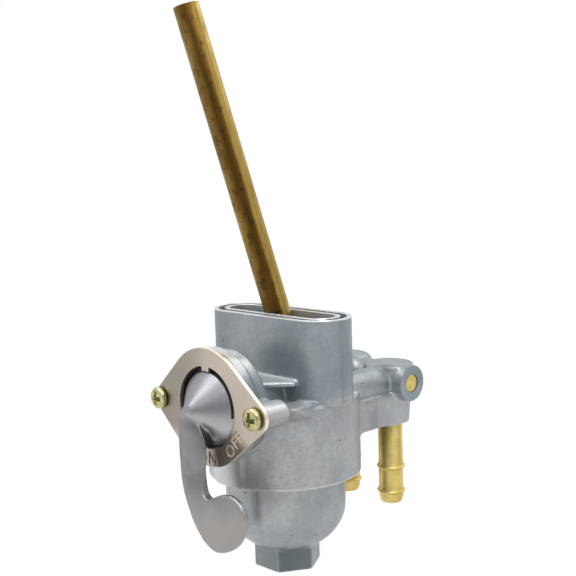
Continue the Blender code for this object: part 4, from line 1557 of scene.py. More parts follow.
            mouth, end = (at, outlet_y, bottom_z - MM), (at, outlet_y, bottom_z + self.barb_socket_depth)
            cutters.append(rod("barb_socket", mouth, end, self.barb_socket_r))
        return cutters

    def _oval(self, inset: float) -> list[Flat]:
        """The neck's oval, smaller by an inset all round."""
        return stadium(self.neck_length - 2 * inset, self.neck_width - 2 * inset)

    def build(self, finish: CastAlloy) -> Object:
        """Make the body.

        Args:
            finish: Its finish.

        Returns:
            The piece.
        """
        skin = fused("cast_body", self.cast_shapes(), self.grain, self.softening)
        rippled(skin.data, 0.05 * MM, 260.0, 3.1)
        skin = boolean(skin, self.machining())
        skin = merged("cast_body_skin", [skin, *self._burrs()])
        mark_edges(skin.data, 0.30 * MM)
        for mark in (self._mark_wear_and_light, self._mark_recess_shadow, self._mark_shade):
            mark(skin.data)
        return fit_out(skin, finish.material(), Body.TAP, Slot.CAST, "body_casting")

    def _burrs(self) -> list[Object]:
        """The fine burrs that the cutter left along the neck's and the round body's edges.

        Returns:
            The burrs.
        """
        inner = self.lip + self.groove
        rims = [(0.05 * MM, 0.15 * MM), (self.lip, 0.08 * MM), (inner, 0.10 * MM), (inner + self.ring, 0.11 * MM)]
        beads = [burr(f"rim_burr_{n}", self._oval(inset), self.top_z, size, n) for n, (inset, size) in enumerate(rims)]
        base = circle(0, 0, self.radius - 0.12 * MM, 240)
        return beads + [burr("base_burr", base, self.bottom_z + 0.05 * MM, 0.13 * MM, 9)]

    def _mark_wear_and_light(self, mesh: Mesh) -> None:
        """Brighten the milled faces; paint light on up-facing surfaces in front, on the screw bosses, low on the body's
        left and on the outlet blocks' foot; paint shade on the outlet arms by toning down their edge wear.

        Args:
            mesh: The body's skin.
        """
        x, y, z = places(mesh).T
        up, around = vertex_normals(mesh)[:, 2], np.hypot(x, y)
        top = 0.75 * (z > self.top_z - 0.05 * MM)
        foot = 0.6 * (np.abs(z - self.bottom_z) < 0.1 * MM)
        rim = 0.6 * bell((around - self.radius) / (0.5 * MM), (z - self.shoulder_z) / (0.4 * MM))
        # Painted light on up-facing surfaces in front of the neck.
        web = 0.85 * slope(up, 0.5, 0.9) * (y < -self.neck_width / 2) * (z < self.top_z - MM)
        # A painted pool of light low on the body's left.
        turn = (bearing(x, y) - self.lit_patch_angle) / self.lit_patch_spread
        lit_patch = 0.85 * bell(turn) * slope(z, *self.lit_patch_zs) * (around > self.radius - MM)
        # A painted highlight on the screw bosses' up-facing sides.
        boss = np.hypot(np.abs(x) - self.screw_x, z - self.valve_z) < 3.6 * MM
        boss &= (y > self.face_y + 0.3 * MM) & (y < self.face_y + 10 * MM)
        raise_to(mesh, "wear", top, foot, rim, web, lit_patch, 0.75 * slope(up, -0.2, 0.5) * boss)
        wear = kept(mesh, "wear")
        # Painted shade on the outlet arms, by toning down their edge wear; painted light on the outlet blocks' foot.
        arms = (y > self.arms_start_y) & (z > 35 * MM) & (z < 46 * MM)
        block_foot = (y > 17 * MM) & (z < self.arm_web_top_z + 0.1 * MM)
        keep(mesh, "wear", np.maximum(np.where(arms, 0.3 * wear, wear), 0.13 * block_foot))

    def _mark_recess_shadow(self, mesh: Mesh) -> None:
        """Paint shadow into the valve chamber, the gasket groove and the notch between near arm and boss.

        Args:
            mesh: The body's skin.
        """
        points = places(mesh)
        x, y, z = points.T
        chamber = (y > self.face_y + 0.2 * MM) & (y < self.face_y + self.chamber_depth + 0.2 * MM)
        chamber &= np.hypot(x, z - self.valve_z) < self.chamber_r + 0.1 * MM
        groove = (z < self.top_z - 0.3 * MM) & (z > self.top_z - self.groove_depth - 0.2 * MM)
        groove &= stadium_depth(x, y, self.neck_length, self.neck_width) > self.lip - 0.1 * MM
        notch = bell(np.linalg.norm(points - self.notch_at, axis=1) / self.notch_size)
        # Painted shadow in the chamber, the groove and the notch.
        raise_to(mesh, "grime", chamber, 0.75 * groove, notch)

    def _mark_shade(self, mesh: Mesh) -> None:
        """Paint a bluish reflection on the neck's wall behind the valve, shade on the neck and on the arms' tops, a
        dark reflection in the arms' crease, and shade on the plug's face.

        Args:
            mesh: The body's skin.
        """
        x, y, z = places(mesh).T
        # A painted bluish reflection on the neck's wall behind the valve.
        blotch = bell((x - self.reflection_at[0]) / self.reflection_size[0], (z - self.reflection_at[1]) / self.reflection_size[1])
        # Painted shade on the arms' tops and a painted dark reflection in their crease.
        crease = bell((y - self.crease_at[0]) / self.crease_size[0], (z - self.crease_at[1]) / self.crease_size[1])
        arms = np.maximum(0.25 * slope(vertex_normals(mesh)[:, 2], 0.3, 0.8), 0.6 * crease * (x > 12 * MM))
        # Painted shade on the neck, darker towards the right.
        neck_shade = 0.12 + 0.2 * slope(x, -5 * MM, 10 * MM)
        wall = (y < -0.3 * self.neck_width) & (y > -0.75 * self.neck_width) & (z > self.shoulder_z)
        neck = np.where(wall, np.maximum(0.6 * blotch, neck_shade), neck_shade * (z > self.shoulder_z + 1.5 * MM))
        # Painted shade on the plug's face.
        plug_face = (x > self.plug_x - 0.1 * MM) & (y > self.plug_face_y)
        keep(mesh, "shade", np.where(plug_face, 0.62, np.where(y > self.arms_start_y, arms, neck)))


@dataclass
class SedimentBowl:
    """The screw-on bowl: domed cup, grip ribs, hexagon and threaded collar."""

    grain: float = 0.28 * MM
    softening: int = 3
    seat_z: float = 22.6 * MM
    radius: float = 14.3 * MM
    straight_z: float = 15.0 * MM
    dome: float = 11.5 * MM
    rib_width: float = 8.2 * MM
    rib_proud: float = 0.55 * MM
    rib_low_z: float = 12.5 * MM
    hex_flats: float = 14.0 * MM
    hex_height: float = 6.2 * MM
    hex_chamfer: float = 0.3 * MM
    cavity_r: float = 11.3 * MM
    floor_z: float = 5.6 * MM
    collar_r: float = 12.9 * MM
    collar_top_z: float = 29.3 * MM
    # Middle and spread of the painted shade on the bowl's right, in degrees.
    painted_patch_angle: float = 15.0
    painted_patch_spread: float = 38.0

    def outside(self, proud: float = 0.0, steps: int = 40) -> list[Flat]:
        """The outer profile from the seat down to the hexagon.

        Args:
            proud: How far outside the plain surface it lies.
            steps: Divisions of the dome.

        Returns:
            Points of (radius, height).
        """
        r = self.radius + proud
        last = math.acos(self.hex_flats / 2 * 0.9 / r)
        points = [(r, self.seat_z + 0.6 * MM), (r, self.straight_z)]
        for k in range(1, steps + 1):
            a = last * k / steps
            points.append((r * math.cos(a), self.straight_z - (self.dome + proud) * math.sin(a)))
        return points

    def _rib(self, side: int) -> Object:
        """A raised grip rib that follows the bowl's side and dome.

        Args:
            side: 1 for the rear, -1 for the front.

        Returns:
            The rib.
        """
        half, last = self.rib_width / 2, 12
        bm = bmesh.new()
        rows = []
        for r, z in self.outside(self.rib_proud, 24):
            if z > self.rib_low_z:
                xs = [-half + 2 * half * k / last for k in range(last + 1)]
                rows.append([[
                    bm.verts.new((x, side * math.sqrt(max(depth**2 - x * x, 0)), z)) for depth in (r, r - 2 * MM)
                ] for x in xs])
        for a, b in zip(rows, rows[1:]):
            for k in range(last):
                bm.faces.new((a[k][0], a[k + 1][0], b[k + 1][0], b[k][0]))
                bm.faces.new((a[k][1], b[k][1], b[k + 1][1], a[k + 1][1]))
            for k in (0, last):
                bm.faces.new((a[k][0], b[k][0], b[k][1], a[k][1]))
        for row in (rows[0], rows[-1]):
            for k in range(last):
                bm.faces.new((row[k][0], row[k][1], row[k + 1][1], row[k + 1][0]))
        bmesh.ops.recalc_face_normals(bm, faces=bm.faces)
        return mesh_object(f"grip_rib_{side}", bm)

    def _hexagon(self) -> Object:
        """The spanner hexagon with its chamfered foot.

        Returns:
            The hexagon.
        """
        corner, height = self.hex_flats / math.sqrt(3), self.hex_height
        foot, wide = corner - 0.35 * MM, corner + MM
        hexagon = turned("hexagon", [(0, -MM), (corner, -MM), (corner, height), (0, height)], 6)
        cone = turned("hexagon_chamfer", [
            (0, -2 * MM), (foot, -2 * MM), (foot, 0), (wide, self.hex_chamfer), (wide, 2 * height), (0, 2 * height),
        ])
        return boolean(hexagon, [cone], Cut.KEEP)

    def _mark_light(self, mesh: Mesh) -> None:
        """Paint shade on the hexagon's sides and on the bowl's right, a dark reflection beside the grip ribs, and
        darken the joint under the body.

        Args:
            mesh: The bowl's skin.
        """
        x, y, z = places(mesh).T
        angle = bearing(x, y)
        # Painted shade on the hexagon's sides and on the bowl's right.
        hexagon = slope(z, self.hex_height - 0.6 * MM, self.hex_height - 1.4 * MM)
        hexagon *= np.where((angle > -60) & (angle < 0), 0.92, 0.45)
        shaded_side = 0.25 * bell((angle - self.painted_patch_angle) / self.painted_patch_spread) * (z > self.hex_height)
        keep(mesh, "shade", unit(shaded_side + hexagon))
        # A painted dark reflection beside each grip rib.
        flank = bell((np.abs(x) - self.rib_width / 2 - 0.45 * MM) / (0.85 * MM)) * (np.hypot(x, y) > self.cavity_r + MM)
        flank *= slope(z, self.seat_z - 0.6 * MM, self.seat_z - 1.6 * MM)
        flank *= slope(z, self.rib_low_z, self.rib_low_z + 3 * MM)
        joint = slope(z, self.seat_z - 0.35 * MM, self.seat_z - 0.05 * MM)
        raise_to(mesh, "grime", joint, 0.75 * flank)

    def build(self, finish: CastAlloy) -> Object:
        """Make the bowl.

        Args:
            finish: Its finish.

        Returns:
            The piece.
        """
        outside = self.outside()
        cup = turned("cup", [(0, self.seat_z + 0.6 * MM), *outside, (0, outside[-1][1])], 160)
        skin = fused("bowl", [cup, self._hexagon(), self._rib(-1), self._rib(1)], self.grain, self.softening)
        rippled(skin.data, 0.04 * MM, 300.0, 7.7)
        far = 40 * MM
        angles = [math.pi / 2 * k / 20 for k in range(21)]
        depth = self.straight_z - self.floor_z
        cavity = [(self.cavity_r * math.sin(a), self.straight_z - depth * math.cos(a)) for a in angles]
        skin = boolean(skin, [
            block("seat_face", (-far, -far, self.seat_z), (far, far, far)),
            block("foot_face", (-far, -far, -far), (far, far, 0)),
            turned("cavity", [*cavity, (self.cavity_r, self.seat_z + MM), (0, self.seat_z + MM)], 96),
        ])
        collar = turned("bowl_collar", [
            (self.cavity_r, self.seat_z - 0.4 * MM), (self.cavity_r, self.collar_top_z),
            (self.collar_r - 0.3 * MM, self.collar_top_z), (self.collar_r, self.collar_top_z - 0.3 * MM),
            (self.collar_r, self.seat_z - 0.4 * MM),
        ], 96)
        piece = merged("bowl_skin", [skin, collar])
        mark_edges(piece.data, 0.30 * MM)
        self._mark_light(piece.data)
        return fit_out(piece, finish.material(), Body.TAP, Slot.CAST, "sediment_bowl")


@dataclass
class ValveLever(TapPiece):
    """The lever: turned hub and cone, and a ridged blade that ends in a hooked paddle."""

    grain: float = 0.24 * MM
    softening: int = 4
    flange_back_y: float = -19.2 * MM
    flange_front_y: float = -21.0 * MM
    flange_r: float = 10.5 * MM
    hub_r: float = 8.9 * MM
    cone_base_y: float = -22.7 * MM
    cone_height: float = 7.0 * MM
    cone_tip_r: float = 1.5 * MM
    notch_r: float = 7.85 * MM
    notch_half_angle: float = 99.8
    notch_front: float = 24.2 * MM
    # Where light and a dark reflection band are painted on the cone: middles and spreads in degrees.
    painted_patch_angle: float = -38.0
    painted_patch_spread: float = 26.0
    band_angle: float = 6.0
    band_spread: float = 13.0
    warm_zs: Flat = (-15.0 * MM, -23.0 * MM)
    blade_back_y: float = -27.6 * MM
    blade_front_y: float = -30.0 * MM
    blade_half: float = 3.55 * MM
    web_front_half: float = 4.0 * MM
    web_foot_half: float = 1.9 * MM
    ridge_line: tuple[Flat, ...] = (
        (-30.0, 9.6), (-27.6, 7.2), (-24.2, 4.4), (-20.3, 2.0), (-16.5, 0.7), (-12.0, 0.3), (0.0, 0.1),
    )
    right_line: tuple[Flat, ...] = (
        (-24.0, 17.4), (-20.5, 17.4), (-18.5, 17.0), (-17.0, 14.5), (-16.0, 10.5), (-15.0, 6.4), (-13.6, 4.7),
        (-12.0, 4.3), (-8.0, 4.7), (-5.0, 3.7), (-1.5, 1.9),
    )

    def outline(self) -> list[Flat]:
        """The blade and paddle seen from the front, as (x, z) from the valve axis.

        Returns:
            A closed smooth outline.
        """
        h = self.blade_half / MM
        knots = [
            (-0.6, 1.2), (-2.7, -0.6), (-h, -4.4), (-h, -11.5), (-2.6, -16.5), (-1.1, -20.3), (1.2, -24.2),
            (4.2, -27.6), (8.2, -29.3), (12.6, -28.3), (16.0, -25.0), (17.4, -20.9), (15.9, -17.6), (12.6, -16.3),
            (9.2, -16.9), (6.4, -18.2), (4.7, -17.2), (4.0, -13.0), (4.4, -8.2), (3.3, -4.8), (1.4, -1.5),
        ]
        points: list[Flat] = []
        for k in range(len(knots)):
            p0, p1, p2, p3 = (Vector(knots[(k + j) % len(knots)]) for j in (-1, 0, 1, 2))
            for step in range(8):
                t = step / 8
                at = 0.5 * (2 * p1 + (p2 - p0) * t + (2 * p0 - 5 * p1 + 4 * p2 - p3) * t**2
                            + (3 * p1 - p0 - 3 * p2 + p3) * t**3)
                points.append((at.x * MM, at.y * MM))
        return points

    def sculpt(self, mesh: Mesh) -> None:
        """Press the blade's flat front down to both sides of its ridge.

        Args:
            mesh: The blade's skin.
        """
        points = places(mesh)
        x, y, z = points[:, 0] / MM, points[:, 1], (points[:, 2] - self.valve_z) / MM
        ridge, right = (np.interp(z, *np.array(line).T) for line in (self.ridge_line, self.right_line))
        across = x - ridge
        fall = np.where(
            across > 0, np.interp(z, (-18.0, -8.0), (0.95, 2.3)) * np.clip(across / (right - ridge), 0, 1) ** 1.15,
            np.interp(z, (-24.0, -12.0), (0.25, 0.95)) * np.clip(-across / 3.85, 0, 1) ** 1.2,
        ) * MM
        fall += 0.15 * MM * np.clip(z + 1.5, 0, 3)
        full = self.blade_front_y - self.blade_back_y
        share = np.clip((y - self.blade_back_y) / full, 0, 1)
        points[:, 1] = np.where(y < self.blade_back_y, self.blade_back_y + share * (full + fall), y)
        moved(mesh, points)

    def _web(self) -> Object:
        """The web that carries the blade's root on the cone.

        Returns:
            The web.
        """
        tip = self.cone_tip_r
        low = -self.hub_r + (self.blade_back_y - self.blade_front_y) / 2
        points = []
        levels = ((self.blade_back_y - 0.3 * MM, self.web_front_half), (self.cone_base_y - MM, self.web_foot_half))
        for y, half in levels:
            points += [(x, y, self.valve_z + z) for x, z in ((-half, low), (half, low), (tip, -tip), (-tip, -tip))]
        return wrapped("blade_web", points)

    def build(self, finish: LeverAlloy) -> Object:
        """Make the lever.

        Args:
            finish: Its finish.

        Returns:
            The piece.
        """
        front = facing_front(self.valve_z)
        tip = -self.cone_base_y + self.cone_height
        hub = turned("hub", [
            (0, -self.flange_back_y), (self.flange_r, -self.flange_back_y), (self.flange_r, -self.flange_front_y),
            (self.hub_r, -self.flange_front_y), (self.hub_r, -self.cone_base_y - 0.3 * MM),
            (self.hub_r - 0.25 * MM, -self.cone_base_y), (self.cone_tip_r, tip - 0.55 * MM),
            (self.cone_tip_r * 0.5, tip - 0.12 * MM), (0, tip),
        ], 160, front)
        blade = sheet_metal("blade", [self.outline()], -self.blade_back_y, -self.blade_front_y, front)
        blade = fused("blade", [blade], self.grain, 1)
        self.sculpt(blade.data)
        skin = fused("valve_lever", [hub, blade, self._web()], self.grain, self.softening)
        half = self.notch_half_angle
        ring = arc(0, 0, self.flange_r + 2 * MM, 90 - half, 90 + half, 60)
        ring += arc(0, 0, self.notch_r, 90 + half, 90 - half, 90)
        skin = boolean(skin, [sheet_metal("stop_notch", [ring], -self.flange_front_y, self.notch_front, front)])
        mark_edges(skin.data, 0.27 * MM)
        self._mark_finish(skin.data)
        return fit_out(skin, finish.material(), Body.LEVER, Slot.LEVER, "lever")

    def _mark_finish(self, mesh: Mesh) -> None:
        """Keep in the mesh what is turned hub, warm or painted light, what gets painted shade or a painted dark band,
        and the painted shadow in the stop notch.

        Args:
            mesh: The lever's skin.
        """
        points, edges, counts = linked_points(mesh)
        x, y, z = points[:, 0], points[:, 1], points[:, 2] - self.valve_z
        radius, angle = np.hypot(x, z), bearing(x, z)
        cone = self.cone_base_y - self.cone_height * (self.hub_r - radius) / (self.hub_r - self.cone_tip_r)
        turned_face = (radius < self.hub_r + 0.3 * MM) & (y > cone - 0.45 * MM)
        hub = spread(turned_face.astype(float), edges, counts, 4)
        keep(mesh, "hub", hub)
        keep(mesh, "lit", 0.5 * hub * bell((angle - self.painted_patch_angle) / self.painted_patch_spread))
        keep(mesh, "warm", slope(z, *self.warm_zs) * (y < self.cone_base_y))
        # A painted dark reflection band across the cone.
        band = hub * bell((angle - self.band_angle) / self.band_spread) * slope(radius, 0, 3 * MM)
        # Painted shade in the valley between cone and blade, on the blade's right flank and at its root.
        valley = bell((x + z * 0.62) / (1.3 * MM)) * slope(x - z * 0.9, 0.5 * MM, 2.5 * MM)
        valley *= (radius < self.hub_r) & (z < 0) & (x > 0)
        flank = slope(vertex_normals(mesh)[:, 0], 0.35, 0.65) * (radius < self.hub_r + 0.4 * MM)
        flank *= (y > self.blade_back_y - 0.2 * MM) & (y < cone - 0.25 * MM) & (z < 0)
        root = slope(x, 0, 4.2 * MM) ** 1.5 * slope(z, -MM, -3 * MM) * slope(z, -12 * MM, -8 * MM)
        root *= y < self.blade_back_y
        dark = np.maximum.reduce([0.3 * valley, 0.85 * flank, 0.55 * root, 0.3 * band])
        keep(mesh, "shade", spread(dark, edges, counts, 3))
        # Painted shadow in the stop notch.
        notch = (y > self.cone_base_y + 0.2 * MM) & ((radius > self.notch_r - 0.05 * MM) | (z > -1.5 * MM))
        raise_to(mesh, "grime", notch)


@dataclass
class LeverPlate(TapPiece):
    """The stamped plate with its stop tab and ON, OFF and RES marks."""

    back_y: float = -22.9 * MM
    front_y: float = -23.9 * MM
    radius: float = 13.4 * MM
    ear_r: float = 3.4 * MM
    left_ear_r: float = 2.45 * MM
    hole_r: float = 9.25 * MM
    screw_hole_r: float = 1.7 * MM
    tab_width: float = 2.4 * MM
    tab_depth: float = 1.1 * MM
    rounding: float = 0.18 * MM
    letter_height: float = 2.7 * MM
    letter_r: float = 11.4 * MM
    letter_depth: float = 0.2 * MM
    marks: tuple[tuple[str, float], ...] = (("RES", 218.0), ("ON", 270.0), ("OFF", 322.0))
    grid_step: float = 0.6 * MM
    # Angles where the painted dark reflection on the face begins and ends.
    dark_reflection_start: Flat = (-76.0, -73.0)
    dark_reflection_end: Flat = (-22.0, -34.0)

    def outlines(self) -> list[list[Flat]]:
        """The plate's edge and its holes.

        Returns:
            Closed outlines.
        """
        tangent = math.degrees(math.acos((self.radius - self.ear_r) / self.screw_x))
        short = math.degrees(math.acos((self.radius - self.left_ear_r) / self.screw_x))
        edge = arc(0, 0, self.radius, tangent, 180 - short, 48)
        edge += arc(-self.screw_x, 0, self.left_ear_r, 180 - short, 180 + short, 32)
        edge += arc(0, 0, self.radius, 180 + short, 360 - tangent, 48)
        edge += arc(self.screw_x, 0, self.ear_r, -tangent, tangent, 32)
        half = math.degrees(math.asin(self.tab_width / 2 / self.hole_r))
        hole = arc(0, 0, self.hole_r, 90 + half, 450 - half, 120)
        hole += arc(0, 0, self.hole_r - self.tab_depth, 90 - half, 90 + half, 6)
        return [edge, hole] + [circle(side * self.screw_x, 0, self.screw_hole_r) for side in SIDES]

    def stamp(self, word: str, angle: float) -> Object:
        """A word as a solid that is pressed into the plate's front.

        Args:
            word: The letters.
            angle: Where it stands on the plate, in degrees.

        Returns:
            The solid.
        """
        text = bpy.data.curves.new(f"mark_{word}", "FONT")
        text.body = word
        text.size = self.letter_height * 1.35
        text.align_x = "CENTER"
        text.align_y = "CENTER"
        text.extrude = self.letter_depth
        text.space_character = 1.12
        text.offset = 0.07 * MM
        at = math.radians(angle)
        spot = Matrix.Translation((self.letter_r * math.cos(at), self.letter_r * math.sin(at), -self.front_y))
        place = facing_front(self.valve_z) @ spot @ Matrix.Rotation(at + math.pi / 2, 4, "Z")
        return flattened(linked(text.name, text, place))

    def build(self, finish: PlatedSteel) -> Object:
        """Make the plate.

        Args:
            finish: Its finish.

        Returns:
            The piece.
        """
        place = facing_front(self.valve_z)
        plate = sheet_metal("stamped_plate", self.outlines(), -self.back_y, -self.front_y, place, self.rounding)
        plate = gridded(plate, self.grid_step, (self.screw_x + self.ear_r, self.radius), self.valve_z)
        plate = boolean(plate, [self.stamp(word, angle) for word, angle in self.marks])
        mark_edges(plate.data, 0.12 * MM)
        self._mark_light(plate.data)
        return fit_out(plate, finish.material(), Body.TAP, Slot.PLATED, "lever_plate")

    def _mark_light(self, mesh: Mesh) -> None:
        """Paint a highlight on the sheared edges, shade on the upper left of the face and a dark brown reflection on
        its lower right; darken the stamped letters, but lighten those inside that reflection.

        Args:
            mesh: The plate's mesh.
        """
        points = places(mesh)
        x, y, z = points[:, 0], points[:, 1], points[:, 2] - self.valve_z
        radius, angle = np.hypot(x, z), bearing(x, z)
        facing = np.abs(vertex_normals(mesh)[:, 1])
        # The painted dark brown reflection on the lower right of the face.
        brown = slope(angle, *self.dark_reflection_start) * slope(angle, *self.dark_reflection_end) * (facing > 0.5)
        sunk = (y > self.front_y + 0.05 * MM) & (y < self.back_y - 0.2 * MM)
        sunk &= (radius > self.hole_r + 0.3 * MM) & (radius < self.radius - 0.3 * MM)
        # Painted highlight on the sheared edges; the stamped letters are light inside the painted reflection and dark
        # elsewhere.
        raise_to(mesh, "wear", unit(1.15 - 1.25 * facing))
        keep(mesh, "wear", np.where(sunk & (brown > 0.3), 0.7, kept(mesh, "wear")))
        grime = np.maximum(kept(mesh, "grime") * 0.5, brown)
        keep(mesh, "grime", np.where(sunk, np.where(brown > 0.3, 0.1, 0.75), grime))
        # Painted shade on the upper left of the face.
        keep(mesh, "shade", slope(x, 5 * MM, -9 * MM) * slope(z, -9 * MM, -5 * MM))


@dataclass
class PlateScrews(TapPiece):
    """The two pan-head cross screws."""

    seat_y: float = -24.2 * MM
    head_r: float = 2.5 * MM
    head_h: float = 1.7 * MM
    shank_r: float = 1.4 * MM
    length: float = 6.9 * MM
    cross_span: float = 3.9 * MM
    cross_width: float = 1.1 * MM
    cross_depth: float = 1.0 * MM

    def pattern(self) -> Object:
        """One screw on the valve's level, in the middle.

        Returns:
            The screw.
        """
        seat, r, h = -self.seat_y, self.head_r, self.head_h
        dome = [(r * math.sin(a), seat + h * 0.42 + h * 0.58 * math.cos(a)) for a in np.linspace(0, math.pi / 2, 12)]
        screw = turned("screw_pattern", [
            *dome, (r, seat + 0.15 * MM), (r - 0.15 * MM, seat), (self.shank_r, seat),
            (self.shank_r, seat - self.length + 0.4 * MM), (self.shank_r - 0.4 * MM, seat - self.length),
            (0, seat - self.length),
        ], 64, facing_front(self.valve_z))
        top = self.seat_y - h
        half, span = self.cross_width / 2, self.cross_span / 2
        arms = []
        for name, wide, tall, low_wide, low_tall in (
            ("cross_arm_0", half, span, 0.7 * half, 0.55 * span), ("cross_arm_1", span, half, 0.55 * span, 0.7 * half),
        ):
            levels = ((top - MM, wide, tall), (top, wide, tall), (top + self.cross_depth, low_wide, low_tall))
            arms.append(wrapped(name, [
                (sx * x, y, self.valve_z + sz * z) for y, x, z in levels for sx in SIDES for sz in SIDES
            ]))
        return bevelled(boolean(screw, arms), 0.06 * MM, 40)

    def build(self, finish: YellowZinc) -> Object:
        """Make both screws.

        Args:
            finish: Their finish.

        Returns:
            The piece.
        """
        screws = pair("plate_screws", self.pattern(), (-self.screw_x, 0.0, 0.0), (2 * self.screw_x, 0.0, 0.0))
        mark_edges(screws.data, 0.12 * MM)
        return fit_out(screws, finish.material(), Body.TAP, Slot.ZINC, "plate_screw_left", "plate_screw_right")


@dataclass
class Standpipe(TapPiece):
    """The brass standpipe: upright in its socket, one bend, then its lean."""

    radius: float = 3.05 * MM
    wall: float = 0.7 * MM
    foot_z: float = 46.9 * MM
    bend_top_z: float = 60.5 * MM
    bend_r: float = 12.0 * MM
    lean: Point = (-12.7 * MM, -14.0 * MM, 71.5 * MM)
    # The painted dark reflection: the direction in degrees where it is darkest, and how dark it is at each angle from
    # there.
    darkest: float = -38.0
    reflection_strip: tuple[Flat, ...] = (
        (-110, 0.35), (-60, 0.45), (-40, 0.6), (-20, 0.82), (-8, 1), (3, 1), (10, 0.78), (18, 0.35), (26, 0), (60, 0),
        (110, 0.35),
    )

    def route(self) -> list[Vector]:
        """The tube's middle line.

        Returns:
            Its points.
        """
        lean = Vector(self.lean).normalized()
        angle = lean.angle(Vector((0, 0, 1)))
        side = Vector((lean.x, lean.y, 0)).normalized()
        foot = Vector((*self.pipe_spot, self.foot_z))
        low = self.bend_top_z - self.bend_r * math.sin(angle)
        points = [foot]
        for k in range(13):
            a = angle * k / 12
            points.append(
                Vector((foot.x, foot.y, low + self.bend_r * math.sin(a))) + side * self.bend_r * (1 - math.cos(a))
            )
        points.append(points[-1] + lean * (self.lean[2] / lean.z))
        return points

    def build(self, finish: AgedBrass) -> Object:
        """Make the standpipe.

        Args:
            finish: Its finish.

        Returns:
            The piece.
        """
        curve = bpy.data.curves.new("standpipe_tube", "CURVE")
        curve.dimensions = "3D"
        spline = curve.splines.new("POLY")
        route = self.route()
        spline.points.add(len(route) - 1)
        for point, at in zip(spline.points, route):
            point.co = (*at, 1)
        tube = tube_tree().run(linked("standpipe_tube", curve), {"Radius": self.radius, "Sides": 64, "Finish": None})
        wall = tube.modifiers.new("wall", "SOLIDIFY")
        wall.thickness = self.wall
        wall.offset = -1
        wall.use_even_offset = True
        tube = bevelled(tube, 0.12 * MM, 50)
        mark_edges(tube.data, 0.15 * MM)
        normals = vertex_normals(tube.data)
        # A painted dark reflection strip, set by the way each point of the tube faces.
        turn = (bearing(normals[:, 0], normals[:, 1]) - self.darkest + 180) % 360 - 180
        keep(tube.data, "shade", np.interp(turn, *np.array(self.reflection_strip).T))
        return fit_out(tube, finish.material(), Body.TAP, Slot.AGED_BRASS, "standpipe")


@dataclass
class HoseBarbs(TapPiece):
    """The two turned hose barbs."""

    top_z: float = 36.0 * MM
    tube_r: float = 3.0 * MM
    ridge_r: float = 3.5 * MM
    bore_r: float = 2.05 * MM
    tip_r: float = 2.65 * MM
    tip_z: float = 10.2 * MM
    ridge_zs: Flat = (19.3 * MM, 13.1 * MM)

    def profile(self) -> list[Flat]:
        """The barb's closed section.

        Returns:
            Points of (radius, height).
        """
        r, ridge, round_r = self.tube_r, self.ridge_r, 0.35 * MM
        points = [(self.bore_r, self.top_z), (r - 0.2 * MM, self.top_z), (r, self.top_z - 0.2 * MM)]
        for z in self.ridge_zs:
            points += [(r, z + 0.95 * MM), (r + 0.08 * MM, z + 0.75 * MM)]
            angles = np.linspace(1.35, -1.35, 9)
            points += [(ridge - round_r + round_r * math.cos(a), z + round_r * math.sin(a)) for a in angles]
            points += [(r + 0.05 * MM, z - 0.55 * MM), (r, z - 0.7 * MM)]
        points += [
            (r - 0.05 * MM, self.tip_z + 1.3 * MM), (self.tip_r + 0.1 * MM, self.tip_z + 0.7 * MM),
            (self.tip_r, self.tip_z + 0.3 * MM), (self.tip_r - 0.25 * MM, self.tip_z), (self.bore_r, self.tip_z),
        ]
        return points

    def build(self, finish: BrightBrass) -> Object:
        """Make both barbs.

        Args:
            finish: Their finish.

        Returns:
            The piece.
        """
        pattern = turned("barb_pattern", self.profile(), 72)
        near, far = self.outlet_xs
        barbs = pair("hose_barbs", pattern, (near, self.outlet_y, 0.0), (far - near, 0.0, 0.0))
        mark_edges(barbs.data, 0.2 * MM)
        return fit_out(
            barbs, finish.material(), Body.TAP, Slot.BRIGHT_BRASS, "outlet_barb_near", "outlet_barb_far", crisp=45.0,
        )


@dataclass
class PassagePlug(TapPiece):
    """The brass plug, slightly domed and peened in place."""

    radius: float = 2.1 * MM
    length: float = 3.2 * MM

    def build(self, finish: BrightBrass) -> Object:
        """Make the plug.

        Args:
            finish: Its finish.

        Returns:
            The piece.
        """
        place = Matrix.Translation((self.plug_x - self.length, self.outlet_y, self.passage_z))
        place = place @ Matrix.Rotation(math.radians(90), 4, "Y")
        r, end = self.radius, self.length
        rings = [(r * k / 14, end - 0.16 * MM * (k / 14) ** 2.5) for k in range(15)]
        plug = turned("peened_plug", [*rings, (r, 0.2 * MM), (r - 0.2 * MM, 0), (0, 0)], 56, place)
        for vert in plug.data.vertices:
            if vert.co.x > self.plug_x - 0.3 * MM:
                vert.co.x -= 0.05 * MM * (1 + noise.noise(vert.co * 1500))
        mark_edges(plug.data, 0.2 * MM)
        return fit_out(plug, finish.material(), Body.TAP, Slot.BRIGHT_BRASS, "passage_plug", crisp=50.0)


@dataclass
class InnerParts:
    """The packing, seals, washer and strainer, which keep their frame shapes."""

    def build(self, nodes: dict[str, Object]) -> list[Object]:
        """Dress the inner nodes.

        Args:
            nodes: The frame's nodes.

        Returns:
            The dressed nodes.
        """
        rubber = MouldedPart("black_rubber_skin", (0.022, 0.022, 0.023), (0.012, 0.012, 0.013), 0.75).material()
        nylon = MouldedPart("strainer_nylon_skin", (0.62, 0.60, 0.52), (0.52, 0.50, 0.43), 0.5).material()
        finishes = {
            "valve_rubber": (rubber, Slot.RUBBER), "bowl_seal_ring": (rubber, Slot.RUBBER),
            "wave_washer": (SpringSteel().material(), Slot.SPRING), "strainer_frame": (nylon, Slot.NYLON),
            "strainer_screen": (BrassGauze().material(), Slot.GAUZE),
        }
        for name, (material, slot) in finishes.items():
            nodes[name].material_slots[0].material = material
            LOG.info("%s dressed", name)
        return [nodes[name] for name in finishes]


# ---- studio


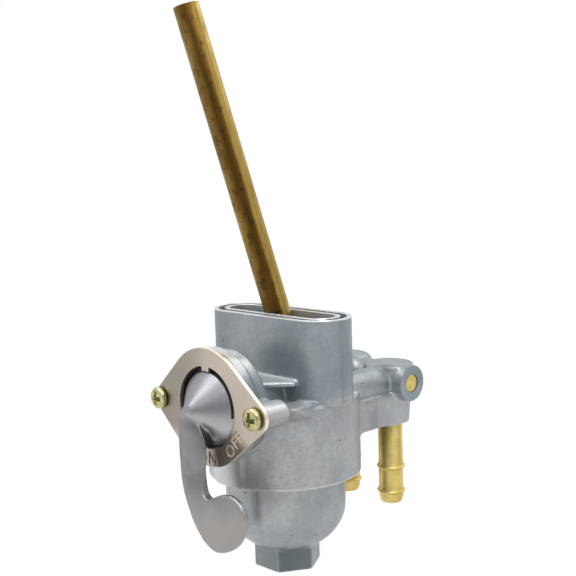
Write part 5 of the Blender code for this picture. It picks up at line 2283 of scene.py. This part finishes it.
@dataclass
class Studio:
    """The camera, floor, soft lights and the dark cards that shape the reflections."""

    eye: Point = (179.256 * MM, -173.561 * MM, 98.385 * MM)
    heading: float = 46.408
    dip: float = 5.757
    roll: float = -1.763
    focal: float = 1070.8
    centre: Flat = (269.85, 258.0)
    frame: float = 576.0
    sensor: float = 36.0
    aim_z: float = 40.0 * MM

    def camera(self) -> None:
        """Place the camera as the photograph was taken."""
        a, t, r = (math.radians(v) for v in (self.heading, self.dip, self.roll))
        up = Vector((0, 0, 1))
        right = Vector((math.cos(a), math.sin(a), 0))
        back = Vector((math.sin(a), -math.cos(a), 0))
        ahead = -back * math.cos(t) - up * math.sin(t)
        tall = up * math.cos(t) - back * math.sin(t)
        side = right * math.cos(r) + tall * math.sin(r)
        tall = tall * math.cos(r) - right * math.sin(r)
        data = bpy.data.cameras.new("photo_camera")
        data.sensor_width = self.sensor
        data.lens = self.focal * self.sensor / self.frame
        data.shift_x = (self.frame / 2 - self.centre[0]) / self.frame
        data.shift_y = (self.centre[1] - self.frame / 2) / self.frame
        data.clip_start = 0.01
        data.clip_end = 20.0
        place = Matrix.Translation(self.eye) @ Matrix((side, tall, -ahead)).transposed().to_4x4()
        bpy.context.scene.camera = linked("photo_camera", data, place)

    def _aimed(self, at: Point) -> Matrix:
        """A place that looks at the middle of the tap."""
        aim = Vector((0, 0, self.aim_z)) - Vector(at)
        return Matrix.Translation(at) @ aim.to_track_quat("-Z", "Y").to_matrix().to_4x4()

    def lamp(self, name: str, at: Point, size: Flat, watts: float, colour: Colour = (1.0, 1.0, 1.0)) -> None:
        """A soft rectangular lamp aimed at the tap.

        Args:
            name: The lamp's name.
            at: Its place.
            size: Its width and height.
            watts: Its power.
            colour: Its colour.
        """
        data = bpy.data.lights.new(name, "AREA")
        data.shape = "RECTANGLE"
        data.size, data.size_y = size
        data.energy = watts
        data.color = colour
        linked(name, data, self._aimed(at))

    def card(self, name: str, at: Point, size: Flat, grey: Colour) -> None:
        """A dark card that only reflections see.

        Args:
            name: The card's name.
            at: Its place.
            size: Its width and height.
            grey: Its colour.
        """
        bm = bmesh.new()
        bmesh.ops.create_grid(bm, x_segments=1, y_segments=1, size=0.5)
        bmesh.ops.transform(bm, matrix=self._aimed(at) @ Matrix.Diagonal((*size, 1, 1)), verts=bm.verts)
        obj = mesh_object(name, bm)
        s = Shader(name)
        glow = s.node("ShaderNodeEmission", None, {"Color": grey, "Strength": 1.0})
        s.feed(s.output, glow)
        obj.data.materials.append(s.owner)
        obj.visible_camera = obj.visible_diffuse = obj.visible_shadow = False

    @staticmethod
    def seen_directly(s: Shader) -> Wire:
        """One for rays from the camera, a reflection or glass, else zero.

        Args:
            s: The graph that the nodes go to.

        Returns:
            The switch.
        """
        rays = ("Is Camera Ray", "Is Glossy Ray", "Is Transmission Ray")
        camera, glossy, through = (s.node("ShaderNodeLightPath", out=ray) for ray in rays)
        return camera.larger(glossy).larger(through)

    def floor(self) -> None:
        """A pale floor that keeps a faint shadow."""
        bm = bmesh.new()
        bmesh.ops.create_grid(bm, x_segments=1, y_segments=1, size=6.0)
        bmesh.ops.translate(bm, vec=(0, 0, -0.05 * MM), verts=bm.verts)
        obj = mesh_object("floor", bm)
        s = Shader("floor_white")
        matt = s.node("ShaderNodeBsdfDiffuse", None, {"Color": (0.93, 0.93, 0.93)})
        glow = s.node("ShaderNodeEmission", None, {"Color": (1.0, 1.0, 1.0), "Strength": 1.03})
        share = self.seen_directly(s) * 0.94
        s.feed(s.output, s.node("ShaderNodeMixShader", None, {0: share, 1: matt, 2: glow}))
        obj.data.materials.append(s.owner)

    def world(self) -> None:
        """A white surround, a little dimmer as a light."""
        s = Shader("surround", bpy.data.worlds)
        bpy.context.scene.world = s.owner
        background = s.tree.nodes["Background"]
        s.feed(background.inputs["Color"], (1.0, 1.0, 1.0))
        s.feed(background.inputs["Strength"], self.seen_directly(s) * 0.45 + 0.55)

    def build(self) -> None:
        """Set the whole studio."""
        self.camera()
        self.floor()
        self.world()
        self.lamp("key_lamp", (-0.25, -0.35, 0.85), (0.5, 0.4), 3.6)
        self.lamp("side_lamp", (0.42, -0.25, 0.75), (0.4, 0.4), 3.8)
        self.lamp("camera_lamp", (0.50, -0.60, 0.10), (0.5, 0.3), 0.8)
        self.lamp("back_lamp", (0.05, 0.65, 0.60), (0.6, 0.35), 1.2, (1.0, 0.985, 0.96))
        self.card("camera_card", (0.46, -0.56, 0.12), (0.6, 0.6), (0.38, 0.39, 0.40))
        self.card("right_card", (0.60, 0.50, 0.06), (0.34, 0.40), (0.25, 0.26, 0.265))
        bpy.context.scene.view_settings.view_transform = "Standard"


def main() -> None:
    """Dress the frame piece by piece and set the studio."""
    logging.basicConfig(level=logging.INFO, format="%(name)s: %(message)s")
    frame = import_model()
    steps: list[Callable[[], Any]] = [
        lambda: CastBody().build(CastAlloy()),
        lambda: SedimentBowl().build(CastAlloy(
            name="cast_bowl_skin", light=(0.43, 0.445, 0.455), dark=(0.285, 0.30, 0.313), shade_tint=(0.112, 0.14, 0.15),
            scratches=0.3,
        )),
        lambda: ValveLever().build(LeverAlloy()),
        lambda: LeverPlate().build(PlatedSteel()),
        lambda: PlateScrews().build(YellowZinc()),
        lambda: Standpipe().build(AgedBrass()),
        lambda: HoseBarbs().build(BrightBrass()),
        lambda: PassagePlug().build(BrightBrass(name="peened_brass_skin", ring_axis="X")),
        lambda: InnerParts().build(frame["nodes"]),
    ]
    for step in steps:
        step()
    Studio().build()


if __name__ == "__main__":
    main()
